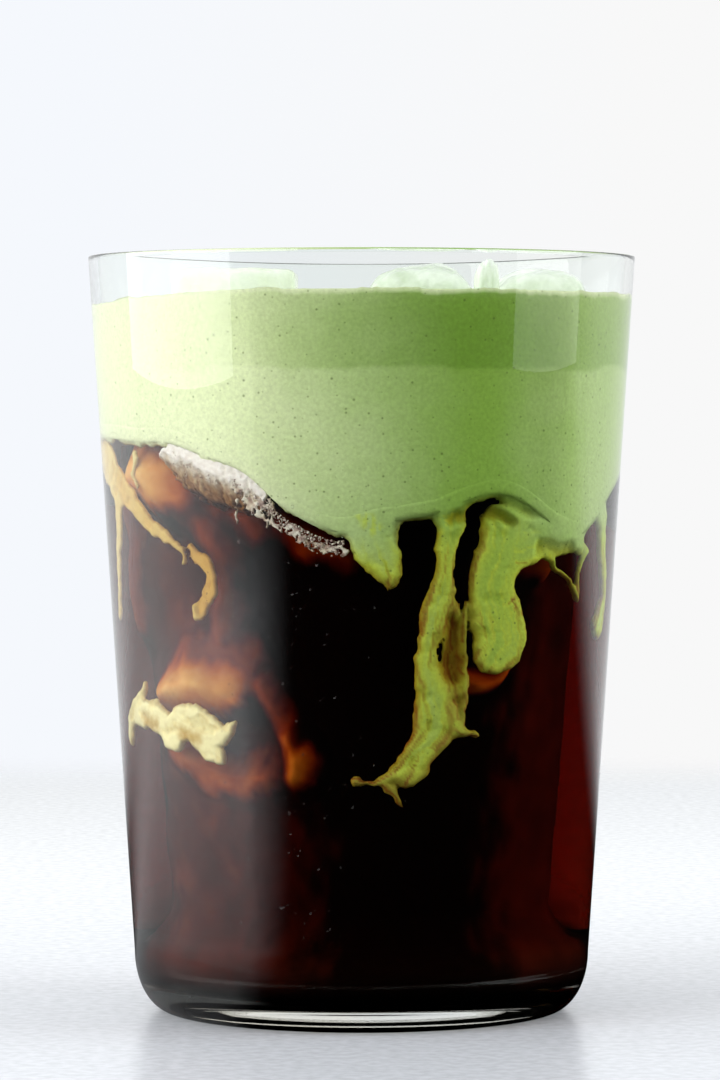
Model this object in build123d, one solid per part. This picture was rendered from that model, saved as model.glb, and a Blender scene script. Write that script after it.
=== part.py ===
"""Iced matcha latte in a tapered tumbler, in millimetres.

The tumbler is a thin clear glass with a rounded heel, a thick floor and a shallow hollow under it.
Black coffee fills its lower part. A thick layer of whipped matcha cream floats on the coffee, and
its wavy underside hangs into it in lobes and fingers. Pieces of ice stand out of the cream.

Frame: +Z up, origin at the centre of the foot ring, -Y is the side where the fingers hang.
"""
import math
import os

from build123d import *

# Tumbler, outside
HEIGHT = 120.0
RIM_DIAMETER = 87.0
HEEL_DIAMETER = 72.4  # where the straight wall ends and the heel begins
HEEL_HEIGHT = 9.5
FOOT_DIAMETER = 60.6  # outer edge of the flat ring that it stands on
HOLLOW_DIAMETER = 50.0  # shallow hollow inside the foot ring
HOLLOW_DEPTH = 0.9
# Tumbler, inside
WALL = 1.5  # at the rim
HEEL_WALL = 2.3  # where the heel begins
FLOOR = 4.4  # glass between the drink and the table
INNER_HEEL_RUN = 7.5  # how far the rounded inner corner reaches in from the wall
INNER_HEEL_RISE = 8.5

# Matcha cream
FREEBOARD = 6.2  # from the rim down to the cream's level
CREAM_DEPTH = 25.0  # from that level down to the underside, before its lobes
LEVEL_SAG = 1.7  # how far the surface falls towards the left wall
SAG_START = 17.5  # where that fall begins, left of the axis
DISH_DEPTH = 7.0  # how much deeper the layer is on the axis
DISH_MARGIN = 2.5  # flat ring between that dish and the wall
# Round lobes of the underside at the wall: bearing from the front in degrees, drop and width
LOBES = (
    (-26.0, 7.0, 22.0),
    (-5.0, 15.8, 27.0),
    (29.0, 8.6, 18.0),
    (55.0, 15.3, 27.0),
    (112.0, 7.0, 30.0),
    (160.0, 12.0, 34.0),
    (-138.0, 8.0, 28.0),
)
LOBE_SETBACK = 2.0  # from the wall in to the middle of each lobe
# Fingers of cream that sink into the coffee. Each follows round knots from the layer to its tip:
# a knot's bearing from the front in degrees, its depth below the underside, and its width
FINGERS = {
    "stub": ((2.0, 8.0, 9.0), (5.0, 19.5, 5.2)),
    "ribbon": ((19.0, 6.0, 6.6), (17.0, 25.0, 7.6), (14.5, 41.0, 7.2), (9.0, 50.0, 4.2)),
    "lobe": ((29.5, 6.0, 8.8), (29.5, 20.0, 7.4), (31.0, 28.5, 9.0)),
}
FINGER_CLEARANCE = 0.4  # coffee between a finger and the glass

# Ice, standing in the cream: three blocks in a row from left to right, and a shard before them
LEFT_ICE_EDGE = 20.0
MIDDLE_ICE_EDGE = 17.5
RIGHT_ICE_EDGE = 15.5
LEFT_ICE_GAP = 11.0  # between the left block and the middle one
RIGHT_ICE_GAP = 2.6  # between the middle block and the right one
MIDDLE_ICE_START = 0.8  # the middle block's left face, from the axis
LEFT_ICE_SETBACK = 6.7  # the left block's centre, behind the axis
ROW_SETBACK = 4.4  # the centres of the other two, behind the axis
ICE_RISE = 4.4  # how far the left and middle blocks stand out of the cream
RIGHT_ICE_RISE = 3.4
LEFT_ICE_TILT = 1.5  # a tilt above nothing puts the block's right side down
MIDDLE_ICE_TILT = -8.0
RIGHT_ICE_TILT = 12.0
SHARD_WIDTH = 3.8
SHARD_DEPTH = 7.0
SHARD_LENGTH = 13.0
SHARD_RISE = 5.4
SHARD_TILT = 2.0
SHARD_GAP = 2.6  # between the shard and the middle block's front
ICE_ROUNDING = 2.2
SHARD_ROUNDING = 1.0
ICE_WALL_CLEARANCE = 0.8

BELOW = 1.0  # how far cutting solids pass a face that they cut

rim_radius = RIM_DIAMETER / 2
heel_radius = HEEL_DIAMETER / 2
draft = (rim_radius - heel_radius) / (HEIGHT - HEEL_HEIGHT)
thickening = (HEEL_WALL - WALL) / (HEIGHT - HEEL_HEIGHT)
level = HEIGHT - FREEBOARD
underside = level - CREAM_DEPTH


def wall_radius(z):
    """Outer radius of the straight wall at height z."""
    return rim_radius - draft * (HEIGHT - z)


def cavity_radius(z):
    """Inner radius of the straight wall at height z, where the glass thickens towards the heel."""
    return wall_radius(z) - WALL - thickening * (HEIGHT - z)


def heel_curve(foot, heel, slope):
    """A quarter of a soft oval, level at foot and along the wall's slope at heel."""
    reach = 0.5523  # handle of a cubic curve that follows a quarter ellipse
    run, rise = heel[0] - foot[0], heel[1] - foot[1]
    handle_foot = (foot[0] + reach * run, foot[1])
    handle_heel = (heel[0] - slope * reach * rise, heel[1] - reach * rise)
    return Bezier(foot, handle_foot, handle_heel, heel)


def turned(*edges):
    """A closed (radius, height) outline turned about the Z axis."""
    outline = make_face(Wire([Plane.XZ * edge for edge in edges]))
    return revolve(outline, Axis.Z)


def inner_outline(top):
    """The cavity's outline from the axis out along the floor and up the wall to height top."""
    corner_z = FLOOR + INNER_HEEL_RISE
    corner = (cavity_radius(corner_z), corner_z)
    floor_end = (corner[0] - INNER_HEEL_RUN, FLOOR)
    return [
        Line((0, FLOOR), floor_end),
        heel_curve(floor_end, corner, draft + thickening),
        Line(corner, (cavity_radius(top), top)),
    ]


def tumbler():
    """The glass: one turned solid with a rounded rim."""
    lip = HEIGHT - WALL / 2
    outer = (wall_radius(lip), lip)
    inner = (cavity_radius(lip), lip)
    hollow = HOLLOW_DIAMETER / 2
    foot = (FOOT_DIAMETER / 2, 0)
    heel = (heel_radius, HEEL_HEIGHT)
    hollow_middle = (hollow / 2, HOLLOW_DEPTH * 3 / 4)  # a shallow arc halves its run there
    return turned(
        ThreePointArc((0, HOLLOW_DEPTH), hollow_middle, (hollow, 0)),
        Line((hollow, 0), foot),
        heel_curve(foot, heel, draft),
        Line(heel, outer),
        ThreePointArc(outer, ((outer[0] + inner[0]) / 2, HEIGHT), inner),
        *inner_outline(lip),
        Line((0, FLOOR), (0, HOLLOW_DEPTH)),
    )


def cavity():
    """The room inside the glass, open upwards past the rim."""
    top = HEIGHT + BELOW
    return turned(
        *inner_outline(top),
        Line((cavity_radius(top), top), (0, top)),
        Line((0, top), (0, FLOOR)),
    )


def ice_room():
    """The part of the cavity that ice may fill, clear of the glass."""
    low, high = FLOOR + INNER_HEEL_RISE, HEIGHT + BELOW
    near, far = (cavity_radius(z) - ICE_WALL_CLEARANCE for z in (low, high))
    return turned(
        Line((0, low), (near, low)),
        Line((near, low), (far, high)),
        Line((far, high), (0, high)),
        Line((0, high), (0, low)),
    )


def below_level():
    """Everything under the cream's surface: level, then falling in an arc towards the left wall."""
    reach = rim_radius + BELOW
    run = cavity_radius(level) - SAG_START
    arc_radius = (run**2 + LEVEL_SAG**2) / (2 * LEVEL_SAG)
    turn = math.asin((reach - SAG_START) / arc_radius)
    start, middle, end = (
        (
            -SAG_START - arc_radius * math.sin(share * turn),
            level - arc_radius * (1 - math.cos(share * turn)),
        )
        for share in (0, 1 / 2, 1)
    )
    outline = [
        Line((reach, 0), (reach, level)),
        Line((reach, level), start),
        ThreePointArc(start, middle, end),
        Line(end, (end[0], 0)),
        Line((end[0], 0), (reach, 0)),
    ]
    face = make_face(Wire([Plane.XZ * edge for edge in outline]))
    return extrude(face, amount=reach, both=True)


def cap_radius(width, height):
    """Radius of the ball whose cap has this width and this height."""
    return ((width / 2) ** 2 + height**2) / (2 * height)


def lobe(bearing, drop, width):
    """A round lobe: a ball that is this wide in the underside's plane and hangs this far below."""
    radius = cap_radius(width, drop)
    distance = cavity_radius(underside) - LOBE_SETBACK
    turn = math.radians(bearing)
    middle = (distance * math.sin(turn), -distance * math.cos(turn), underside - drop + radius)
    return Pos(*middle) * Sphere(radius)


def dish():
    """The round cap by which the layer is deeper in the middle, with a thin slab on it."""
    edge = cavity_radius(underside) - DISH_MARGIN
    lowest = underside - DISH_DEPTH
    radius = cap_radius(2 * edge, DISH_DEPTH)
    half_way = (edge / 2, lowest + radius - math.sqrt(radius**2 - (edge / 2) ** 2))
    return turned(
        ThreePointArc((0, lowest), half_way, (edge, underside)),
        Line((edge, underside), (edge, underside + BELOW)),
        Line((edge, underside + BELOW), (0, underside + BELOW)),
        Line((0, underside + BELOW), (0, lowest)),
    )


def cream_room():
    """The space that the cream takes: a slab with a dished underside, round lobes and fingers."""
    reach = 2 * (rim_radius + BELOW)
    slab = Pos(0, 0, underside) * Box(
        reach, reach, HEIGHT - underside + BELOW, align=(Align.CENTER, Align.CENTER, Align.MIN)
    )
    lobes = [lobe(*size) for size in LOBES]
    fingers = [finger(knots) for knots in FINGERS.values()]
    return slab + dish() + lobes + fingers


def finger(knots):
    """A finger of cream that hangs close to the glass: round knots joined by tapered stems."""
    balls = []
    for bearing, depth, width in knots:
        z = underside - depth
        distance = cavity_radius(z) - FINGER_CLEARANCE - width / 2
        turn = math.radians(bearing)
        balls.append((Vector(distance * math.sin(turn), -distance * math.cos(turn), z), width / 2))
    shape = Pos(balls[0][0]) * Sphere(balls[0][1])
    for (start, start_radius), (end, end_radius) in zip(balls, balls[1:]):
        along = end - start
        stem = Cone(
            start_radius, end_radius, along.length, align=(Align.CENTER, Align.CENTER, Align.MIN)
        )
        shape += Plane(origin=start, z_dir=along) * stem
        shape += Pos(end) * Sphere(end_radius)
    return shape


def ice_block(size, middle, top, tilt, rounding):
    """A block of ice with melted edges: middle is its (x, y), and it tilts about the Y axis."""
    block = Box(*size)
    block = fillet(block.edges(), rounding)
    return Pos(*middle, top - size[2] / 2) * Rot(0, tilt, 0) * block


def ice_blocks():
    """Each piece of ice by name, kept clear of the glass."""
    middle_end = MIDDLE_ICE_START + MIDDLE_ICE_EDGE
    left_x = MIDDLE_ICE_START - LEFT_ICE_GAP - LEFT_ICE_EDGE / 2
    middle_x = MIDDLE_ICE_START + MIDDLE_ICE_EDGE / 2
    right_x = middle_end + RIGHT_ICE_GAP + RIGHT_ICE_EDGE / 2
    shard_x = middle_end + RIGHT_ICE_GAP / 2
    shard_y = ROW_SETBACK - MIDDLE_ICE_EDGE / 2 - SHARD_GAP - SHARD_DEPTH / 2
    shard_size = (SHARD_WIDTH, SHARD_DEPTH, SHARD_LENGTH)
    top = level + ICE_RISE
    blocks = {
        "ice_left": ice_block(
            (LEFT_ICE_EDGE,) * 3, (left_x, LEFT_ICE_SETBACK), top, LEFT_ICE_TILT, ICE_ROUNDING
        ),
        "ice_middle": ice_block(
            (MIDDLE_ICE_EDGE,) * 3, (middle_x, ROW_SETBACK), top, MIDDLE_ICE_TILT, ICE_ROUNDING
        ),
        "ice_right": ice_block(
            (RIGHT_ICE_EDGE,) * 3,
            (right_x, ROW_SETBACK),
            level + RIGHT_ICE_RISE,
            RIGHT_ICE_TILT,
            ICE_ROUNDING,
        ),
        "ice_shard": ice_block(
            shard_size, (shard_x, shard_y), level + SHARD_RISE, SHARD_TILT, SHARD_ROUNDING
        ),
    }
    room = ice_room()
    return {name: block & room for name, block in blocks.items()}


def main():
    """Builds every sub-part and writes one STEP file for each."""
    contents = cavity() & below_level()
    cream_shape = cream_room()
    ice = ice_blocks()
    blocks = list(ice.values())
    coffee = contents - cream_shape - blocks
    cream = (contents & cream_shape) - blocks
    nodes = {"tumbler": tumbler(), "coffee": coffee, "matcha_cream": cream, **ice}
    os.makedirs("parts", exist_ok=True)
    for name, shape in nodes.items():
        export_step(shape, f"parts/{name}.step")


main()
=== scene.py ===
"""Iced matcha latte in a clear tumbler: cold coffee under a thick float of matcha cream, with ice.

Lengths in this file are millimetres unless a name says otherwise. A bearing is degrees round the
glass from its front (-Y), positive towards +X. Every mesh is worked out as whole numpy arrays.
"""
import logging
import math
from dataclasses import dataclass
from enum import Enum
from typing import Sequence

import bpy
import numpy as np
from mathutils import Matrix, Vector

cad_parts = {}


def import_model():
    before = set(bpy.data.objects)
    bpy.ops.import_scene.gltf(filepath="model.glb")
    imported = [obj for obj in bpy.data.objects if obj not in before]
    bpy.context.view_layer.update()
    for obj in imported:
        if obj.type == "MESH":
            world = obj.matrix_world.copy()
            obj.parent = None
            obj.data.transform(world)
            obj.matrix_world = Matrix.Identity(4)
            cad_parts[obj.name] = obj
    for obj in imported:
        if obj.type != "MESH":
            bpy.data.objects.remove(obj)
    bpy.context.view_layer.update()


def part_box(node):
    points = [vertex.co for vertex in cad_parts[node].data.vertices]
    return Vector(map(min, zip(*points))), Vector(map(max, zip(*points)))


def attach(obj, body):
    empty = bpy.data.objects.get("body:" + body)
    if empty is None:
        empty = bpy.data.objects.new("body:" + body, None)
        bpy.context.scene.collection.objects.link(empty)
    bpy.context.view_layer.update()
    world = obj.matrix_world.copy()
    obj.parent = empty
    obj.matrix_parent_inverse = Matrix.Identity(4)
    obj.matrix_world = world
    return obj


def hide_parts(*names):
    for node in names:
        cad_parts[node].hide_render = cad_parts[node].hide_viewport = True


LOG = logging.getLogger("matcha_latte")
MM = 0.001
TAU = 2.0 * math.pi
NOISE_LOW, NOISE_HIGH = 0.3, 0.7  # a noise node seldom leaves this range
WATER_IOR = 1.333
NOWHERE = -1e3  # a field's value before any strand reaches it
Array = np.ndarray
Colour = tuple[float, float, float, float]
Knots = tuple[tuple[float, float, float], ...]
WHITE: Colour = (1.0, 1.0, 1.0, 1.0)


class Slot(Enum):
    """Names of the material slots."""

    GLASS = "clear_glass"
    COFFEE = "coffee"
    CREAM = "matcha_cream"
    ICE = "ice"


# ---------------------------------------------------------------- numbers and noise


def linear(code: str) -> Colour:
    """Turn an sRGB hex value into linear RGBA.

    Args:
        code: Six hex digits, with or without a leading hash.

    Returns:
        Linear red, green, blue and an alpha of 1.
    """
    parts = [int(code.lstrip("#")[i:i + 2], 16) / 255.0 for i in (0, 2, 4)]
    red, green, blue = (p / 12.92 if p <= 0.04045 else ((p + 0.055) / 1.055) ** 2.4 for p in parts)
    return red, green, blue, 1.0


def smoothstep(low: float, high: float, value: Array) -> Array:
    """Rise from 0 at low to 1 at high along the cubic 3t^2 - 2t^3."""
    t = np.clip((value - low) / (high - low), 0.0, 1.0)
    return t * t * (3.0 - 2.0 * t)


def waves(points: Sequence[Array], size: float, seed: int, octaves: int = 3) -> Array:
    """Smooth seeded noise, about -1 to 1.

    The value is a sum of twelve plane sine waves for each octave, with random directions and
    phases; each octave halves the wavelength and the height.

    Args:
        points: One array for each coordinate, all broadcastable to one shape.
        size: Wavelength of the first octave, in the coordinates' unit.
        seed: Seed of the random directions.
        octaves: Number of octaves.

    Returns:
        The noise, in the coordinates' common shape.
    """
    rng = np.random.default_rng(seed)
    total: Array | float = 0.0
    for octave in range(octaves):
        for _ in range(12):
            way = rng.normal(size=len(points))
            way *= TAU / (size * rng.uniform(0.75, 1.5) * 0.5 ** octave) / np.linalg.norm(way)
            phase = rng.uniform(0.0, TAU)
            total = total + 0.5 ** octave * np.sin(sum(w * p for w, p in zip(way, points)) + phase)
    return total / 4.2


def smooth_max(first: Array, second: Array, fillet: float) -> Array:
    """The larger of two fields, with the crease between them rounded over by the fillet."""
    return 0.5 * (first + second + np.sqrt((first - second) ** 2 + fillet ** 2)) - 0.1 * fillet


def smooth_path(knots: Knots, per_span: int = 6) -> Array:
    """Run a Catmull-Rom curve through knots.

    Args:
        knots: Points of bearing, height and half width.
        per_span: Points worked out between two knots.

    Returns:
        An array of points along the curve, one row for each.
    """
    k = np.array(knots, float)
    k = np.vstack([2 * k[0] - k[1], k, 2 * k[-1] - k[-2]])
    t = np.linspace(0.0, 1.0, per_span, endpoint=False)[:, None]
    spans = [
        0.5 * (2 * b + (c - a) * t + (2 * a - 5 * b + 4 * c - d) * t ** 2
               + (3 * b - a - 3 * c + d) * t ** 3)
        for a, b, c, d in zip(k, k[1:], k[2:], k[3:])
    ]
    return np.vstack(spans + [k[-2][None]])


# ---------------------------------------------------------------- meshes


def mesh_object(name: str, vertices: Array, faces: Sequence[Array],
                attributes: dict[str, Array] | None = None) -> bpy.types.Object:
    """Put vertices in millimetres and faces into a smooth-shaded Blender object.

    Args:
        name: Name of the piece.
        vertices: Array of n rows of x, y, z.
        faces: Arrays of vertex numbers, one row for each face, outward by the right-hand rule.
        attributes: Values for each vertex, by attribute name.

    Returns:
        The linked object, unturned and at the origin.
    """
    mesh = bpy.data.meshes.new(name)
    mesh.from_pydata((vertices * MM).tolist(), [], [face for table in faces for face in table.tolist()])
    mesh.polygons.foreach_set("use_smooth", np.ones(len(mesh.polygons), bool))
    for key, values in (attributes or {}).items():
        layer = mesh.attributes.new(key, "FLOAT", "POINT")
        layer.data.foreach_set("value", values.astype(np.float32).ravel())
    mesh.validate()
    mesh.update()
    thing = bpy.data.objects.new(name, mesh)
    bpy.context.scene.collection.objects.link(thing)
    return thing


def polar_faces(rows: int, columns: int) -> tuple[Array, Array, Array]:
    """Number the faces of a table of points that closes round the vertical axis.

    Point i, j has the number i times the columns plus j. The two poles follow the table, and a
    fan of triangles joins each of them to the first or the last column.

    Args:
        rows: Number of bearings.
        columns: Number of points along the profile.

    Returns:
        The quads, the first pole's triangles and the last pole's triangles.
    """
    i, j = np.meshgrid(np.arange(rows), np.arange(columns - 1), indexing="ij")
    here, beside = i * columns + j, (i + 1) % rows * columns + j
    quads = np.stack([here, here + 1, beside + 1, beside], -1).reshape(-1, 4)
    ring, after = np.arange(rows) * columns, (np.arange(rows) + 1) % rows * columns
    first = np.stack([np.full(rows, rows * columns), ring, after], -1)
    last = np.stack([np.full(rows, rows * columns + 1), after + columns - 1, ring + columns - 1], -1)
    return quads, first, last


def polar_body(name: str, radius: Array, height: Array, first_pole: float, last_pole: float,
               attributes: dict[str, Array] | None = None) -> bpy.types.Object:
    """Close a surface round the vertical axis.

    The point at bearing b and step s of the profile is (r sin b, -r cos b, z), where r and z are
    the two tables' values. The profile starts on the axis, runs out and comes back to the axis, and
    each end is closed by a fan of triangles.

    Args:
        name: Name of the piece.
        radius: Table of radii, one row for each bearing and one column for each step.
        height: Table of heights of the same shape.
        first_pole: Height where the profile leaves the axis.
        last_pole: Height where it comes back to the axis.
        attributes: Tables of the same shape by attribute name; a pole takes its ring's mean.

    Returns:
        The object.
    """
    rows, columns = radius.shape
    bearing = np.linspace(0.0, TAU, rows, endpoint=False)[:, None]
    points = np.stack([radius * np.sin(bearing), -radius * np.cos(bearing), height], -1).reshape(-1, 3)
    points = np.vstack([points, [[0, 0, first_pole], [0, 0, last_pole]]])
    extra = {key: np.concatenate([table.ravel(), [table[:, 0].mean(), table[:, -1].mean()]])
             for key, table in (attributes or {}).items()}
    return mesh_object(name, points, polar_faces(rows, columns), extra)


def small_ball() -> tuple[Array, Array]:
    """Make a ball of 42 vertices and 80 triangles.

    An icosahedron's edges are each split in half, and every vertex is then moved out to radius 1.

    Returns:
        The vertices and the triangles.
    """
    g = (1.0 + math.sqrt(5.0)) / 2.0
    corners = [(-1, g, 0), (1, g, 0), (-1, -g, 0), (1, -g, 0), (0, -1, g), (0, 1, g), (0, -1, -g),
               (0, 1, -g), (g, 0, -1), (g, 0, 1), (-g, 0, -1), (-g, 0, 1)]
    sides = [(0, 11, 5), (0, 5, 1), (0, 1, 7), (0, 7, 10), (0, 10, 11), (1, 5, 9), (5, 11, 4),
             (11, 10, 2), (10, 7, 6), (7, 1, 8), (3, 9, 4), (3, 4, 2), (3, 2, 6), (3, 6, 8), (3, 8, 9),
             (4, 9, 5), (2, 4, 11), (6, 2, 10), (8, 6, 7), (9, 8, 1)]
    points, halves, triangles = [np.array(p, float) for p in corners], {}, []

    def halfway(a: int, b: int) -> int:
        """Find or make the vertex halfway between two.

        Args:
            a: Number of one vertex.
            b: Number of the other.

        Returns:
            The number of the vertex between them.
        """
        key = (min(a, b), max(a, b))
        if key not in halves:
            halves[key] = len(points)
            points.append((points[a] + points[b]) / 2)
        return halves[key]

    for a, b, c in sides:
        ab, bc, ca = halfway(a, b), halfway(b, c), halfway(c, a)
        triangles += [(a, ab, ca), (b, bc, ab), (c, ca, bc), (ab, bc, ca)]
    ball = np.array(points)
    return ball / np.linalg.norm(ball, axis=1, keepdims=True), np.array(triangles)


# ---------------------------------------------------------------- finishes


def add_node(tree: bpy.types.NodeTree, kind: str, inputs: dict | None = None,
             stops: Sequence[tuple[float, str]] = (), **settings: object) -> bpy.types.Node:
    """Add a node with its settings and links.

    Args:
        tree: Node tree to add to.
        kind: Blender's class name of the node.
        inputs: By socket name or number, a value to set, an output socket to link, or a node
            whose first output is linked.
        stops: Positions and sRGB hex values of a colour ramp, lowest first.
        **settings: Properties of the node.

    Returns:
        The node.
    """
    made = tree.nodes.new(kind)
    for key, value in settings.items():
        setattr(made, key, value)
    for _ in stops[2:]:
        made.color_ramp.elements.new(0.5)
    for element, (position, code) in zip(made.color_ramp.elements if stops else (), stops):
        element.position, element.color = position, linear(code)
    for key, value in (inputs or {}).items():
        value = value.outputs[0] if isinstance(value, bpy.types.Node) else value
        if isinstance(value, bpy.types.NodeSocket):
            tree.links.new(value, made.inputs[key])
        else:
            made.inputs[key].default_value = value
    return made


def new_material(name: str) -> tuple[bpy.types.Material, bpy.types.NodeTree]:
    """Make an empty node material.

    Args:
        name: Its name.

    Returns:
        The material and its node tree.
    """
    material = bpy.data.materials.new(name)
    material.use_nodes = True
    material.node_tree.nodes.clear()
    return material, material.node_tree


def clear_to_light(tree: bpy.types.NodeTree, shader: bpy.types.Node, tint: Colour) -> bpy.types.Node:
    """Mix a clear shader so that light passes through it in a straight line with a tint.

    Args:
        tree: Node tree.
        shader: The glass-like shader.
        tint: Colour that the light takes on each face that it crosses.

    Returns:
        The mixing node.
    """
    path = add_node(tree, "ShaderNodeLightPath")
    through = add_node(tree, "ShaderNodeBsdfTransparent", {"Color": tint})
    return add_node(tree, "ShaderNodeMixShader", {0: path.outputs["Is Shadow Ray"], 1: shader, 2: through})


@dataclass(frozen=True)
class SodaLimeGlass:
    """Soda-lime glass, machine blown and fire polished, with a breath of cold-drink mist outside.

    It is clear with a trace of green at its edges, has sharp reflections, and the mist on it
    gives a soft pale haze over the dark drink.
    """

    tint: str = "#FAFDFB"
    shadow: Colour = (0.96, 0.98, 0.97, 1.0)
    mist_patch: float = 22.0
    mist_full_x: float = -36.0
    mist_clear_x: float = -12.0
    mist_full: float = 0.86
    mist_clear: float = 0.03
    mist_low: float = 0.7
    mist_roughness: float = 0.55

    def material(self) -> bpy.types.Material:
        """Build the glass with its haze as a rough coat whose weight drifts in patches.

        Returns:
            The material.
        """
        material, tree = new_material("soda_lime_glass_misted")
        place = add_node(tree, "ShaderNodeTexCoord").outputs["Object"]
        across = add_node(tree, "ShaderNodeSeparateXYZ", {0: place}).outputs["X"]
        patch = add_node(tree, "ShaderNodeTexNoise", {
            "Vector": place, "Scale": 1.0 / (self.mist_patch * MM), "Detail": 3.0, "Roughness": 0.55})
        cold = add_node(tree, "ShaderNodeMapRange", {
            "Value": across, "From Min": self.mist_full_x * MM, "From Max": self.mist_clear_x * MM,
            "To Min": self.mist_full, "To Max": self.mist_clear}, interpolation_type="SMOOTHSTEP")
        drift = add_node(tree, "ShaderNodeMapRange", {
            "Value": patch, "From Min": NOISE_LOW, "From Max": NOISE_HIGH, "To Min": self.mist_low,
            "To Max": 1.0})
        weight = add_node(tree, "ShaderNodeMath", {0: cold, 1: drift}, operation="MULTIPLY")
        shader = add_node(tree, "ShaderNodeBsdfPrincipled", {
            "Base Color": linear(self.tint), "Roughness": 0.0, "IOR": 1.5, "Transmission Weight": 1.0,
            "Coat Weight": weight, "Coat Roughness": self.mist_roughness, "Coat IOR": 1.5})
        add_node(tree, "ShaderNodeOutputMaterial", {"Surface": clear_to_light(tree, shader, self.shadow)})
        return material


@dataclass(frozen=True)
class ColdCoffee:
    """Cold-brewed black coffee: a clear liquid, amber where thin and black a few millimetres deep."""

    shade: str = "#EDCC55"
    density_per_m: float = 330.0

    def material(self) -> bpy.types.Material:
        """Build the liquid as clear water with an absorbing volume.

        Returns:
            The material.
        """
        material, tree = new_material("cold_brewed_coffee")
        shader = add_node(tree, "ShaderNodeBsdfPrincipled", {
            "Base Color": WHITE, "Roughness": 0.0, "IOR": WATER_IOR, "Transmission Weight": 1.0})
        volume = add_node(tree, "ShaderNodeVolumeAbsorption", {
            "Color": linear(self.shade), "Density": self.density_per_m})
        add_node(tree, "ShaderNodeOutputMaterial", {
            "Surface": clear_to_light(tree, shader, WHITE), "Volume": volume})
        return material


@dataclass(frozen=True)
class MilkInCoffee:
    """Coffee too deep to see through, with clouds of milk in it: near-black, brown, then tan.

    The eye reads depth from the milk, which pales and warms where it comes up to the wall.
    """

    stops: tuple[tuple[float, str], ...] = (
        (0.0, "#0D0505"), (0.22, "#6A2C2C"), (0.5, "#B8703C"), (0.75, "#E6AC66"), (1.0, "#FCDDA6"),
    )
    curl: float = 5.0

    def material(self) -> bpy.types.Material:
        """Build the cloudy depth, coloured by the mesh's own milk attribute.

        Returns:
            The material.
        """
        material, tree = new_material("milk_clouds_in_coffee")
        milk = add_node(tree, "ShaderNodeAttribute", attribute_name="milk").outputs["Fac"]
        place = add_node(tree, "ShaderNodeTexCoord").outputs["Object"]
        grain = add_node(tree, "ShaderNodeTexNoise", {
            "Vector": place, "Scale": 1.0 / (self.curl * MM), "Detail": 3.0, "Roughness": 0.5})
        drift = add_node(tree, "ShaderNodeMath", {0: grain, 1: 0.5}, operation="SUBTRACT")
        gained = add_node(tree, "ShaderNodeMath", {0: drift, 1: milk}, operation="MULTIPLY")
        level = add_node(tree, "ShaderNodeMath", {0: gained, 1: milk}, operation="ADD")
        colour = add_node(tree, "ShaderNodeValToRGB", {0: level}, self.stops)
        shader = add_node(tree, "ShaderNodeBsdfPrincipled", {
            "Base Color": colour, "Roughness": 0.7, "Specular IOR Level": 0.0})
        add_node(tree, "ShaderNodeOutputMaterial", {"Surface": shader})
        return material


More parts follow.
